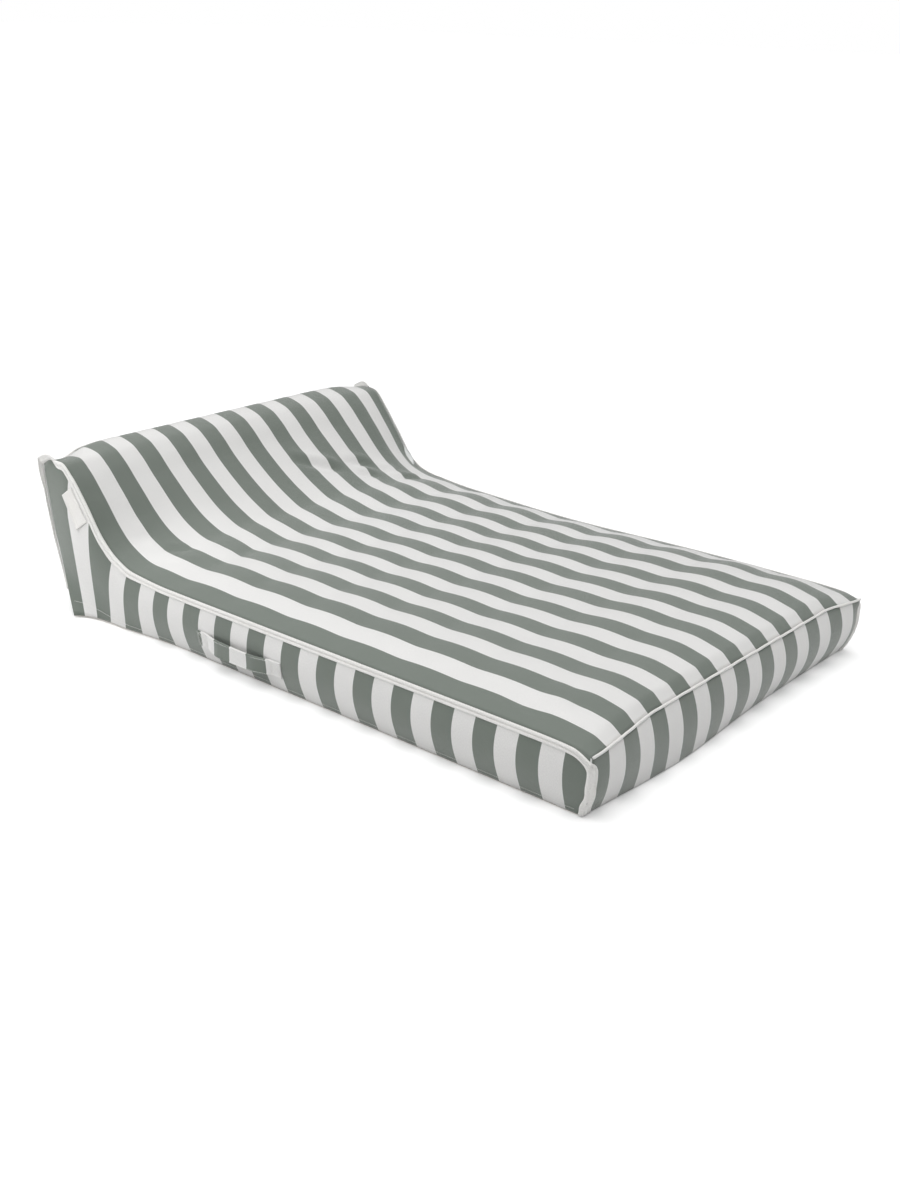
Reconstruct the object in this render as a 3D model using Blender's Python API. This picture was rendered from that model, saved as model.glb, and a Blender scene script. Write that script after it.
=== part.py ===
"""Inflatable double pool lounger: a ribbed air mattress with a raised headrest
in a zipped, sewn fabric cover with a carry strap on each long side.

Metres, +Z up. The foot end is towards -Y, the headrest towards +Y, and left
(-X) and right (+X) are as seen from the foot end. The origin is on the floor
under the middle of the lounger. One woven stripe of the cover is the unit that
the cover is cut in, so shapes are given in stripes and scaled by STRIPE.
"""

import math

import bmesh
import bpy
from mathutils import Matrix, Vector

# Driving dimensions: lengths in stripes unless a name ends in _M (metres)
STRIPE = 0.055
HALF_WIDTH = 10.35          # centre line to the seam between top and side panel
FOOT = -15.37               # Y of the seam between top and foot panel
CREST = 15.38               # Y of the seam between top and back panel, at a corner
SIDE_BULGE, SIDE_TUCK = 0.30, 0.25
FOOT_BULGE, FOOT_TUCK = 0.25, 0.45
CORNER_BULGE = 0.06
CORNER_REACH = 3.0          # distance over which a bulge dies away at a corner
CHAMBER_PITCH = 3.05
FIRST_GROOVE = 6.63         # Y of the groove nearest the headrest
CHAMBER_WEBS = 7
CREASE = 10.3               # Y of the hollow between seat and headrest
SPLIT = 3.0                 # height where the headrest bladder lies on the mattress

CLOTH_M = 0.001
FLOOR_CLOTH_M = 0.0012
WALL_M = 0.0006             # bladder film
GAP_M = 0.0003              # between pieces that touch
BLADDER_INSET_M = 0.0043    # cover face to bladder face
SEAM_INSET_M = 0.0015       # how far a panel stops short of its seam line

# Side profiles of the top panel, as (Y, Z): along a side seam, and at mid width
SEAM_PROFILE = [
    (-15.37, 2.50), (-14.60, 2.66), (-12.80, 2.70), (6.70, 2.65), (9.20, 2.80), (10.28, 3.19),
    (11.18, 3.88), (12.33, 5.36), (13.18, 6.33), (13.94, 6.84), (14.70, 6.84), (15.38, 6.50),
]
CROWN_PROFILE = [
    (-15.37, 2.58), (-14.70, 3.05), (-13.20, 3.30), (6.70, 3.28), (8.70, 3.54), (9.90, 4.03),
    (10.90, 4.60), (12.40, 5.68), (13.30, 6.50), (13.94, 6.92), (14.70, 7.08), (15.38, 6.70),
]
CREST_BOW = 0.37            # how far the crest stands back at mid width

# The back panels, as (Y, Z): floor seam, and the middle of the zip
BACK_FOOT = (13.62, 0.05)
ZIP_LINE = (14.605, 3.15)
ZIP_WINDOW_M = 0.008        # half of the opening that the zip fills


def smooth_curve(points):
    """A function through the points that never swings past them (monotone cubic)."""
    xs, ys = zip(*points)
    steps = [(ys[i + 1] - ys[i]) / (xs[i + 1] - xs[i]) for i in range(len(xs) - 1)]
    slopes = [steps[0]]
    for before, after in zip(steps, steps[1:]):
        rising = before * after > 0
        slopes.append(2 * before * after / (before + after) if rising else 0.0)
    slopes.append(steps[-1])

    def value(x):
        i = max(k for k in range(len(xs) - 1) if k == 0 or xs[k] <= x)
        span = xs[i + 1] - xs[i]
        t = (x - xs[i]) / span
        start = (1 + 2 * t) * (1 - t) ** 2 * ys[i] + t * (1 - t) ** 2 * span * slopes[i]
        end = t * t * (3 - 2 * t) * ys[i + 1] + t * t * (t - 1) * span * slopes[i + 1]
        return start + end

    return value


seam_height = smooth_curve(SEAM_PROFILE)
crown_height = smooth_curve(CROWN_PROFILE)


def ease_out(distance, reach, power=2.3):
    """0 at distance 0, rising to 1 at reach."""
    return 1 - (1 - min(max(distance / reach, 0), 1)) ** power


def crown(x, y):
    """How far the top has risen from its seam profile to its mid-width profile."""
    reach = 4 + 5 * math.exp(-(((y - CREASE) / 2.2) ** 2))
    return ease_out(HALF_WIDTH - abs(x), reach)


def metres(x, y, z):
    return Vector((x, y, z)) * STRIPE


def top_point(x, y, drop=0.0):
    """A point of the top panel. y is counted along the seam."""
    c = crown(x, y)
    back = CREST_BOW * max(0.0, (y - 13.0) / (CREST - 13.0)) ** 2
    z = seam_height(y) + c * (crown_height(y) - seam_height(y))
    return metres(x, y + c * back, z - drop)


def hump(v):
    return math.sin(math.pi * v ** 0.85)


def panel_swell(v, from_corner, bulge, tuck):
    """How far a side or foot panel stands outside its top seam. v: 0 top, 1 floor."""
    share = ease_out(from_corner, CORNER_REACH)
    return (CORNER_BULGE + (bulge - CORNER_BULGE) * share) * hump(v) - tuck * v ** 3


def side_swell(y, v):
    from_corner = min(y - FOOT, CREST - y)
    return panel_swell(v, from_corner, SIDE_BULGE, SIDE_TUCK)


def corner_widening(v):
    """Share by which the end panels are wider or narrower than the top at v."""
    return 1 + side_swell(FOOT, v) / HALF_WIDTH


def back_y(z):
    """Y of the back at an upright corner: straight below and above the zip."""
    top = (CREST, seam_height(CREST))
    low, high = (BACK_FOOT, ZIP_LINE) if z < ZIP_LINE[1] else (ZIP_LINE, top)
    return low[0] + (high[0] - low[0]) * (z - low[1]) / (high[1] - low[1])


def column_shift(y, v):
    """How far a side panel's column moves along Y below its top, which is at y."""
    to_foot = min(max((-14.0 - y) / (-14.0 - FOOT), 0), 1)
    to_back = min(max((y - 9.0) / (CREST - 9.0), 0), 1)
    corner_z = seam_height(CREST) * (1 - v) + BACK_FOOT[1] * v
    foot_shift = -panel_swell(v, 0, FOOT_BULGE, FOOT_TUCK)
    return to_foot * foot_shift + to_back * (back_y(corner_z) - CREST)


def side_point(side, y, v):
    """A point of a side panel: side is -1 left, 1 right."""
    z = seam_height(y) * (1 - v) + BACK_FOOT[1] * v
    return metres(side * (HALF_WIDTH + side_swell(y, v)), y + column_shift(y, v), z)


def foot_point(x, v):
    swell = panel_swell(v, HALF_WIDTH - abs(x), FOOT_BULGE, FOOT_TUCK)
    z = top_point(x, FOOT).z / STRIPE * (1 - v) + BACK_FOOT[1] * v
    return metres(x * corner_widening(v), FOOT - swell, z)


def frame_on_back(origin, up):
    """A frame on the back's outer face as seen from behind: x to the right (-X), y up, z out."""
    right = Vector((-1, 0, 0))
    turn = Matrix((right, up, right.cross(up))).transposed().to_4x4()
    return Matrix.Translation(origin) @ turn


ZIP_UP = Vector((0, ZIP_LINE[0] - BACK_FOOT[0], ZIP_LINE[1] - BACK_FOOT[1])).normalized()
ZIP_PLACE = frame_on_back(metres(0, *ZIP_LINE), ZIP_UP)
BACK_OUT = ZIP_PLACE.to_3x3() @ Vector((0, 0, 1))


def widened(point):
    """A back panel's point moved sideways to meet the side panels' corner."""
    v = min(max(1 - point.z / STRIPE / seam_height(CREST), 0), 1)
    point.x *= corner_widening(v)
    return point


def back_lower_point(x, f):
    """f: 0 at the floor seam, 1 at the zip."""
    low = metres(x, *BACK_FOOT)
    high = metres(x, *ZIP_LINE) - ZIP_UP * ZIP_WINDOW_M
    return widened(low.lerp(high, f))


def back_upper_point(x, f):
    """f: 0 at the zip, 1 at the crest."""
    low = metres(x, *ZIP_LINE) + ZIP_UP * ZIP_WINDOW_M
    return widened(low.lerp(top_point(x, CREST), f))


# ---------------------------------------------------------------- Blender helpers


def material(name, colour, roughness, metallic=0.0):
    made = bpy.data.materials.new(name)
    made.use_nodes = True
    shader = made.node_tree.nodes["Principled BSDF"]
    shader.inputs["Base Color"].default_value = (*colour, 1)
    shader.inputs["Roughness"].default_value = roughness
    shader.inputs["Metallic"].default_value = metallic
    return made


SAGE = ((0.30, 0.36, 0.30), 0.85)
WHITE_CLOTH = ((0.80, 0.79, 0.75), 0.85)
CREAM_CLOTH = ((0.72, 0.68, 0.58), 0.9)
FILM = ((0.75, 0.77, 0.76), 0.4)
VALVE_PLASTIC = ((0.85, 0.86, 0.84), 0.35)
SOFT_PLASTIC = ((0.60, 0.63, 0.62), 0.5)
ZIP_PLASTIC = ((0.82, 0.82, 0.78), 0.45)
ZIP_METAL = ((0.62, 0.62, 0.60), 0.3, 1.0)


def add_object(name, bm, finish):
    """Links the bmesh as an object with a material of its own, shaded smooth."""
    mesh = bpy.data.meshes.new(name)
    bm.to_mesh(mesh)
    bm.free()
    made = bpy.data.objects.new(name, mesh)
    bpy.context.scene.collection.objects.link(made)
    if finish:
        mesh.materials.append(material(name, *finish))
        mesh.shade_smooth()
        mesh.set_sharp_from_angle(angle=math.radians(40))
    return made


def sheet(name, rows, outward, finish, thickness=CLOTH_M, hole=None):
    """A cloth panel from rows of points on its outer face. hole: (row, column) left open."""
    bm = bmesh.new()
    grid = [[bm.verts.new(p) for p in row] for row in rows]
    for i in range(len(rows) - 1):
        for j in range(len(rows[0]) - 1):
            if (i, j) != hole:
                corners = (grid[i][j], grid[i][j + 1], grid[i + 1][j + 1], grid[i + 1][j])
                bm.faces.new(corners)
    bm.normal_update()
    total = sum((f.normal for f in bm.faces), Vector())
    if total.dot(Vector(outward)) < 0:
        bmesh.ops.reverse_faces(bm, faces=bm.faces)
    made = add_object(name, bm, finish)
    thicken(made, thickness)
    return made


def thicken(made, thickness):
    modifier = made.modifiers.new("thickness", "SOLIDIFY")
    modifier.thickness = thickness
    modifier.offset = -1


def loft(name, rings, finish, hole=None):
    """A body skinned over rings of equal length, closed at both ends."""
    bm = bmesh.new()
    loops = [[bm.verts.new(p) for p in ring] for ring in rings]
    count = len(loops[0])
    for i in range(len(loops) - 1):
        for j in range(count):
            if (i, j) != hole:
                k = (j + 1) % count
                bm.faces.new((loops[i][j], loops[i][k], loops[i + 1][k], loops[i + 1][j]))
    for end in (loops[0], loops[-1]):
        bm.faces.new(end)
    bmesh.ops.recalc_face_normals(bm, faces=bm.faces)
    return add_object(name, bm, finish)


def block(name, low, high, finish=None, bevel=0.0):
    """A box from its two corners, in the parent's frame."""
    bm = bmesh.new()
    bmesh.ops.create_cube(bm, size=1)
    size = Vector(high) - Vector(low)
    middle = (Vector(high) + Vector(low)) / 2
    bmesh.ops.scale(bm, vec=size, verts=bm.verts)
    bmesh.ops.translate(bm, vec=middle, verts=bm.verts)
    if bevel:
        bmesh.ops.bevel(bm, geom=bm.edges, offset=bevel, segments=1, affect="EDGES")
    return add_object(name, bm, finish)


def turned(name, profile, finish=None, segments=20):
    """A body turned about Z from a closed outline of (radius, height) points."""
    bm = bmesh.new()
    rings = []
    for radius, height in profile:
        turns = segments if radius > 0 else 1
        ring = []
        for k in range(turns):
            angle = 2 * math.pi * k / segments
            point = (radius * math.cos(angle), radius * math.sin(angle), height)
            ring.append(bm.verts.new(point))
        rings.append(ring)
    for ring, after in zip(rings, rings[1:] + rings[:1]):
        if len(ring) == len(after) == 1:
            continue
        for k in range(segments):
            corners = [ring[k % len(ring)], ring[(k + 1) % len(ring)]]
            corners += [after[(k + 1) % len(after)], after[k % len(after)]]
            bm.faces.new(list(dict.fromkeys(corners)))
    bmesh.ops.recalc_face_normals(bm, faces=bm.faces)
    return add_object(name, bm, finish)


def combine(made, tool, operation):
    """Joins a helper shape to an object, or cuts it away, with a Boolean."""
    tool.hide_render = True
    tool.display_type = "WIRE"
    tool.parent = made
    modifier = made.modifiers.new(tool.name, "BOOLEAN")
    modifier.object = tool
    modifier.operation = operation
    modifier.solver = "EXACT"


def place(made, frame, pivot=(0, 0, 0)):
    """Puts an object drawn in a local frame into the lounger, with its origin at pivot."""
    pivot = Vector(pivot)
    for shape in (made, *made.children):
        shape.data.transform(Matrix.Translation(-pivot))
    made.matrix_world = frame @ Matrix.Translation(pivot)


def clear_scene():
    for old in list(bpy.data.objects):
        bpy.data.objects.remove(old, do_unlink=True)


# ---------------------------------------------------------------- the cover

INSET = SEAM_INSET_M / STRIPE
SIDE_STEPS = [0, 0.6, 1.4, 2.5, 4.0, 6.0, 8.2]
ACROSS = [-HALF_WIDTH + s for s in SIDE_STEPS] + [0.0] + [HALF_WIDTH - s for s in SIDE_STEPS[::-1]]
SEAT_STATIONS = [FOOT, -14.9, -14.2, -13.2] + [-11.67 + 1.525 * k for k in range(12)]
HEAD_STATIONS = [6.6, 7.6, 8.4, 9.0, 9.6, 10.2, 10.8, 11.4, 12.0, 12.6, 13.2, 13.6, 13.94]
ALONG = SEAT_STATIONS + HEAD_STATIONS + [14.4, 14.9, CREST]
DOWN = [0, 0.12, 0.28, 0.45, 0.62, 0.8, 1.0]


def pulled_in(values, inset):
    """The same stations, with the first and last moved inwards off the seams."""
    return [values[0] + inset] + list(values[1:-1]) + [values[-1] - inset]


def make_top_panel():
    rows = [[top_point(x, y) for x in pulled_in(ACROSS, INSET)] for y in pulled_in(ALONG, INSET)]
    sheet("cover_top_panel", rows, (0, 0, 1), SAGE)


def make_side_panels():
    stations = pulled_in(ALONG, INSET)
    for side, word in ((-1, "left"), (1, "right")):
        rows = []
        for v in pulled_in(DOWN, 0.025):
            rows.append([side_point(side, y, v) for y in stations])
        sheet(f"cover_side_{word}", rows, (side, 0, 0), SAGE)


def make_foot_panel():
    stations = pulled_in(ACROSS, INSET)
    rows = [[foot_point(x, v) for x in stations] for v in pulled_in(DOWN, 0.025)]
    sheet("cover_foot_panel", rows, (0, -1, 0), SAGE)


PORT_HALF_M = 0.026                 # half of the square opening behind a port ring
MAIN_VALVE_X, HEAD_VALVE_X = 4.5, -4.5


def stations_with_port(middle):
    """Stations across the back, with a pair that frames the valve port."""
    half = PORT_HALF_M / STRIPE
    clear = [x for x in ACROSS if abs(x - middle) > half + 0.3]
    stations = sorted(clear + [middle - half, middle + half])
    return stations, stations.index(middle - half)


def port_rows(length_m):
    """Shares of a back panel's height at its seams and at the port's edges."""
    half = PORT_HALF_M / length_m
    return [SEAM_INSET_M / length_m, 0.5 - half, 0.5 + half, 1 - SEAM_INSET_M / length_m]


def panel_length(point):
    return (point(0, 1) - point(0, 0)).length


def make_back_panels():
    lower = (back_lower_point, MAIN_VALVE_X, "cover_back_lower")
    upper = (back_upper_point, HEAD_VALVE_X, "cover_back_upper")
    for point, middle, name in (lower, upper):
        stations, column = stations_with_port(middle)
        shares = port_rows(panel_length(point))
        rows = [[point(x, f) for x in pulled_in(stations, INSET)] for f in shares]
        sheet(name, rows, (0, 1, 0), SAGE, hole=(1, column))


def make_bottom_panel():
    half = HALF_WIDTH - SIDE_TUCK - 2 * INSET
    foot = FOOT + FOOT_TUCK + 2 * INSET
    head = BACK_FOOT[0] - 2 * INSET
    low = metres(-half, foot, 0)
    high = metres(half, head, 0)
    high.z = FLOOR_CLOTH_M
    block("cover_bottom_panel", low, high, CREAM_CLOTH)


# ---------------------------------------------------------------- bands and piping

BAND_WIDTH_M, BAND_THICK_M = 0.021, 0.0045
BAND_CLEAR_M = 0.0012
CORD_M = 0.0032                     # piping radius


def side_face(side, y, z):
    """X in metres of a side panel's outer face at that Y and height."""
    top_y = min(y, CREST)
    for _ in range(6):
        v = min(max(1 - z / seam_height(top_y), 0), 1)
        top_y = min(max(y - column_shift(top_y, v), FOOT), CREST)
    return side * (HALF_WIDTH + side_swell(top_y, v)) * STRIPE


def band_ring(side, y):
    """Cross-section of the flat band that hangs over the top of a side panel."""
    here, ahead = min(y, CREST - 0.02), min(y, CREST - 0.02) + 0.02
    along = Vector((0, 0.02, seam_height(ahead) - seam_height(here))).normalized()
    down = Vector((0, along.z, -along.y))
    seam = metres(side * HALF_WIDTH, y, seam_height(y))
    inner, outer = [], []
    for depth in (-0.002, 0.004, 0.5 * BAND_WIDTH_M, BAND_WIDTH_M):
        point = seam + down * depth
        face = side_face(side, point.y / STRIPE, point.z / STRIPE)
        inner.append(Vector((face + side * BAND_CLEAR_M, point.y, point.z)))
        outer.append(Vector((face + side * (BAND_CLEAR_M + BAND_THICK_M), point.y, point.z)))
    return inner + outer[::-1]


def make_seam_bands():
    stations = pulled_in(ALONG, 2 * INSET)
    for side, word in ((-1, "left"), (1, "right")):
        loft(f"seam_band_{word}", [band_ring(side, y) for y in stations], WHITE_CLOTH)


def corner_ring(side, end, v):
    """Cross-section of the band round an upright corner. end: -1 foot, 1 head."""
    reach = 0.011
    if end < 0:
        y = FOOT
        on_end = foot_point(side * (HALF_WIDTH - reach / STRIPE), v)
        outwards = Vector((0, -1, 0))
    else:
        y = CREST
        on_end = side_point(side, CREST, v) - Vector((side * reach, 0, 0))
        above_zip = max(on_end.z / STRIPE - ZIP_LINE[1], 0) / (seam_height(CREST) - ZIP_LINE[1])
        bow = CREST_BOW * crown(HALF_WIDTH - reach / STRIPE, CREST)
        on_end.y += bow * above_zip * STRIPE
        outwards = BACK_OUT
    on_side = side_point(side, y - end * reach / STRIPE, v)
    corner = side_point(side, y, v)
    sideways = Vector((side, 0, 0))
    clear, proud = BAND_CLEAR_M, BAND_CLEAR_M + 0.003
    inner = [on_side + sideways * clear, corner + (sideways + outwards) * clear, on_end + outwards * clear]
    outer = [on_side + sideways * proud, corner + (sideways + outwards) * proud, on_end + outwards * proud]
    return inner + outer[::-1]


def make_corner_bands():
    for end, place_word, start in ((-1, "foot", 0.19), (1, "head", 0.075)):
        for side, word in ((-1, "left"), (1, "right")):
            shares = [start + (0.975 - start) * k / 6 for k in range(7)]
            rings = [corner_ring(side, end, v) for v in shares]
            loft(f"corner_band_{place_word}_{word}", rings, WHITE_CLOTH)


def cord_ring(centre, sideways, upwards):
    """Cross-section of a piping cord: an octagon."""
    ring = []
    for k in range(8):
        angle = math.pi * k / 4
        ring.append(centre + (sideways * math.cos(angle) + upwards * math.sin(angle)) * CORD_M)
    return ring


def make_end_piping():
    """The cord along the foot seam and the one along the crest seam."""
    away = CORD_M + 2 * GAP_M
    up = Vector((0, 0, 1))
    foot_rings, crest_rings = [], []
    for x in pulled_in(ACROSS, INSET):
        outwards = Vector((0, -0.8, 0.6))
        foot_rings.append(cord_ring(top_point(x, FOOT) + outwards * away, Vector((0, 1, 0)), up))
        outwards = Vector((0, 0.8, 0.6))
        crest_rings.append(cord_ring(top_point(x, CREST) + outwards * away, Vector((0, 1, 0)), up))
    loft("piping_foot", foot_rings, WHITE_CLOTH)
    loft("piping_crest", crest_rings, WHITE_CLOTH)


# ---------------------------------------------------------------- straps and tag

HANDLE_START, HANDLE_END = -0.32, 4.68       # Y of its two sewn ends
HANDLE_LOW, HANDLE_HIGH = 0.78, 1.53         # heights of its edges
HANDLE_THICK_M = 0.0025
HANDLE_BOW_M = 0.011                         # room for fingers behind the strap
HANDLE_SEWN = 0.6                            # length of each sewn end
HANDLE_RISE = 0.9                            # length over which it lifts off


def handle_face(side, y, z):
    """Inner face of a carry strap, in metres from the middle."""
    heights = (HANDLE_LOW, HANDLE_HIGH)
    crest = max(abs(side_face(side, y, h)) for h in (HANDLE_LOW, 1.2, HANDLE_HIGH))
    low, high = (abs(side_face(side, y, h)) for h in heights)
    on_panel = low + (high - low) * (z - HANDLE_LOW) / (HANDLE_HIGH - HANDLE_LOW) + 0.0022
    from_end = min(y - HANDLE_START, HANDLE_END - y)
    lift = ease_out(from_end - HANDLE_SEWN, HANDLE_RISE, 1.6)
    return side * (on_panel + lift * (crest - on_panel + HANDLE_BOW_M))


def make_handles():
    span = HANDLE_END - HANDLE_START
    shares = (0, 0.06, 0.12, 0.17, 0.22, 0.3, 0.4, 0.5, 0.6, 0.7, 0.78, 0.83, 0.88, 0.94, 1)
    for side, word in ((-1, "left"), (1, "right")):
        rings = []
        for share in shares:
            y = HANDLE_START + span * share
            inner, outer = [], []
            for z in (HANDLE_LOW, (HANDLE_LOW + HANDLE_HIGH) / 2, HANDLE_HIGH):
                face = handle_face(side, y, z)
                inner.append(Vector((face, y * STRIPE, z * STRIPE)))
                outer.append(Vector((face + side * HANDLE_THICK_M, y * STRIPE, z * STRIPE)))
            rings.append(inner + outer[::-1])
        loft(f"handle_{word}", rings, SAGE)


LABEL_TOP, LABEL_LENGTH_M, LABEL_WIDTH_M = 13.05, 0.096, 0.040
LABEL_DEPTH_M = 0.0225              # below the seam, just clear of the band


def make_label():
    """The sewn tag on the left panel, just below the band on the headrest slope."""
    start = Vector((0, LABEL_TOP, seam_height(LABEL_TOP)))
    end = Vector((0, 12.0, seam_height(12.0)))
    along = (end - start).normalized()
    down = Vector((0, -along.z, along.y))
    corner = start * STRIPE + down * LABEL_DEPTH_M
    rings = []
    for step in range(5):
        inner, outer = [], []
        for share in (0, 0.5, 1):
            point = corner + along * LABEL_LENGTH_M * step / 4 + down * LABEL_WIDTH_M * share
            face = side_face(-1, point.y / STRIPE, point.z / STRIPE) - 0.0015
            inner.append(Vector((face, point.y, point.z)))
            outer.append(Vector((face - 0.0008, point.y, point.z)))
        rings.append(inner + outer[::-1])
    loft("side_label", rings, WHITE_CLOTH)


# ---------------------------------------------------------------- the zip

ZIP_HALF_M = 0.50                   # half the length of the toothed part
COIL_INNER_M, COIL_OUTER_M = 0.0006, 0.0029
SLIDER_X_M = -0.485                 # the closed end
PIN_OUT_M = 0.0039                  # height of the slider's pin over the panel


def make_zip_strips():
    """The two tapes under the panels' edges, the two coils, the stops and end tabs."""
    full = HALF_WIDTH * STRIPE - 0.006
    for sign, word in ((-1, "lower"), (1, "upper")):
        tape = sorted((sign * 0.0032, sign * 0.0135))
        coil = sorted((sign * COIL_INNER_M, sign * COIL_OUTER_M))
        low, high = (-full, tape[0], -0.0024), (full, tape[1], -0.0017)
        place(block(f"zip_tape_{word}", low, high, WHITE_CLOTH), ZIP_PLACE)
        low, high = (-ZIP_HALF_M, coil[0], -0.0026), (ZIP_HALF_M, coil[1], 0)
        place(block(f"zip_coil_{word}", low, high, ZIP_PLASTIC), ZIP_PLACE)
    for sign, word in ((-1, "right"), (1, "left")):
        ends = sorted((sign * (ZIP_HALF_M + GAP_M), sign * (ZIP_HALF_M + 0.003)))
        low, high = (ends[0], -0.0029, -0.0028), (ends[1], 0.0029, 0.0002)
        place(block(f"zip_stop_{word}", low, high, ZIP_METAL), ZIP_PLACE)
        ends = sorted((sign * (ZIP_HALF_M + 0.006), sign * (full - 0.0085)))
        low, high = (ends[0], -0.014, GAP_M), (ends[1], 0.014, 0.0014)
        place(block(f"zip_end_tab_{word}", low, high, SAGE), ZIP_PLACE)


def make_zip_slider():
    """Two plates joined by a divider that runs between the coils, and a pin for the pull."""
    frame = ZIP_PLACE @ Matrix.Translation((SLIDER_X_M, 0, 0))
    slider = block("zip_slider", (-0.0065, -0.0055, 0.0004), (0.0065, 0.0055, 0.0019), ZIP_METAL, 0.0004)
    combine(slider, block("slider_divider", (-0.0055, -0.0003, -0.0035), (-0.0015, 0.0003, 0.001)), "UNION")
    combine(slider, block("slider_inner", (-0.0065, -0.0055, -0.0044), (0.0065, 0.0055, -0.0031)), "UNION")
    for sign in (-1, 1):
        lug = sorted((sign * 0.0024, sign * 0.0036))
        shape = block("slider_lug", (-0.0016, lug[0], 0.001), (0.0016, lug[1], 0.0052))
        combine(slider, shape, "UNION")
    pin = turned("slider_pin", [(0, -0.003), (0.0008, -0.003), (0.0008, 0.003), (0, 0.003)], segments=12)
    pin.data.transform(Matrix.Translation((0, 0, PIN_OUT_M)) @ Matrix.Rotation(math.pi / 2, 4, "X"))
    combine(slider, pin, "UNION")
    place(slider, frame)


def make_zip_pull():
    """A tab with an eye round the slider's pin. It lies over the closed zip at rest."""
    frame = ZIP_PLACE @ Matrix.Translation((SLIDER_X_M, 0, 0))
    upright = Matrix.Translation((0, 0, PIN_OUT_M)) @ Matrix.Rotation(math.pi / 2, 4, "X")
    outline = [(0.0012, -0.002), (0.0020, -0.002), (0.0020, 0.002), (0.0012, 0.002)]
    pull = turned("zip_pull", outline, ZIP_METAL, segments=12)
    pull.data.transform(upright)
    tab = block("pull_tab", (0.0016, -0.002, PIN_OUT_M - 0.0007), (0.008, 0.002, PIN_OUT_M + 0.0007))
    combine(pull, tab, "UNION")
    grip = block("pull_grip", (0.007, -0.0034, PIN_OUT_M - 0.0007), (0.030, 0.0034, PIN_OUT_M + 0.0007))
    combine(pull, grip, "UNION")
    place(pull, frame, (0, 0, PIN_OUT_M))


# ---------------------------------------------------------------- valves

# Outlines in metres, as (radius, height over the bladder)
VALVE_BASE = [(0.0172, 0), (0.030, 0), (0.030, 0.0012), (0.020, 0.0012), (0.020, 0.009), (0.0172, 0.009)]
VALVE_PLUG = [
    (0.009, 0.0093), (0.0148, 0.0093), (0.0148, 0.004), (0.0164, 0.004), (0.0164, 0.0093),
    (0.020, 0.0093), (0.020, 0.0113), (0.011, 0.0113), (0.011, 0.0143), (0.009, 0.0143),
]
VALVE_STOPPER = [
    (0, 0.0146), (0.0066, 0.0146), (0.0066, 0.0105), (0.0082, 0.0105), (0.0082, 0.0146),
    (0.0125, 0.0146), (0.0125, 0.0166), (0, 0.0166),
]
VALVE_FLAP = [(0, 0.0082), (0.0125, 0.0082), (0.0125, 0.009), (0, 0.009)]
PLUG_HINGE = (0.0235, 0, 0.0103)
STOPPER_HINGE = (-0.0158, 0, 0.0156)
FLAP_HINGE = (0.0122, 0, 0.0086)
PORT_RING = [(0.027, 0), (0.038, 0), (0.038, 0.0014), (0.027, 0.0014)]


def panel_up(point, x):
    """The direction up a back panel at x, square to the lounger's width."""
    up = point(x, 1) - point(x, 0)
    up.x = 0
    return up.normalized()


def port_frame(point, middle):
    """The frame on a back panel's outer face at its port."""
    return frame_on_back(point(middle, 0.5), panel_up(point, middle))


def make_valve(name, port):
    """A welded base, a hinged deflation plug, its one-way flap and a hinged stopper."""
    frame = port @ Matrix.Translation((0, 0, GAP_M - BLADDER_INSET_M))
    base = turned(f"{name}_valve_base", VALVE_BASE, VALVE_PLASTIC)
    combine(base, block("base_lug", (0.0185, -0.004, 0.0006), (0.0255, 0.004, 0.0085)), "UNION")
    place(base, frame)
    plug = turned(f"{name}_valve_plug", VALVE_PLUG, VALVE_PLASTIC)
    combine(plug, block("plug_ear", (0.0185, -0.0035, 0.0093), (0.0245, 0.0035, 0.0113)), "UNION")
    combine(plug, block("plug_lug", (-0.0178, -0.0025, 0.0105), (-0.0138, 0.0025, 0.0139)), "UNION")
    place(plug, frame, PLUG_HINGE)
    stopper = turned(f"{name}_valve_stopper", VALVE_STOPPER, SOFT_PLASTIC)
    combine(stopper, block("stopper_ear", (-0.0168, -0.002, 0.0147), (-0.011, 0.002, 0.0165)), "UNION")
    combine(stopper, block("stopper_tab", (0.0115, -0.003, 0.0147), (0.0155, 0.003, 0.0165)), "UNION")
    place(stopper, frame, STOPPER_HINGE)
    flap = turned(f"{name}_valve_flap", VALVE_FLAP, SOFT_PLASTIC, segments=16)
    place(flap, frame, FLAP_HINGE)


def make_valves_and_ports():
    sites = (("main", back_lower_point, MAIN_VALVE_X), ("headrest", back_upper_point, HEAD_VALVE_X))
    for name, point, middle in sites:
        port = port_frame(point, middle)
        make_valve(name, port)
        ring = turned(f"{name}_port_ring", PORT_RING, WHITE_CLOTH)
        place(ring, port @ Matrix.Translation((0, 0, 2 * GAP_M)))


# ---------------------------------------------------------------- the bladders

INSIDE = BLADDER_INSET_M / STRIPE
HOLE_HALF_M = 0.020                 # half of the square opening under a valve base
END_STEPS = ((-0.55, 0.0), (-0.25, 0.25), (0.0, 0.7))     # (X past the seam, ring inset)
UNDER_HEAD_INSET = 0.17             # further inset of those ends under the headrest
GROOVES = [FIRST_GROOVE - CHAMBER_PITCH * k for k in range(CHAMBER_WEBS)]


def inner_back(point, x, f):
    """A point of a bladder's back wall, inside the panel by the bladder inset."""
    return point(x, f) + Vector((1, 0, 0)).cross(panel_up(point, x)) * BLADDER_INSET_M


def hole_shares(point):
    half = HOLE_HALF_M / panel_length(point)
    return 0.5 - half, 0.5 + half


def mattress_top(x, y):
    """Top of the mattress bladder: grooved under the seat, level under the headrest."""
    point = top_point(x, y, INSIDE)
    if y > FIRST_GROOVE + 1.2:
        point.y = y * STRIPE
        point.z = min(point.z, SPLIT * STRIPE)
    return point


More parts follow.
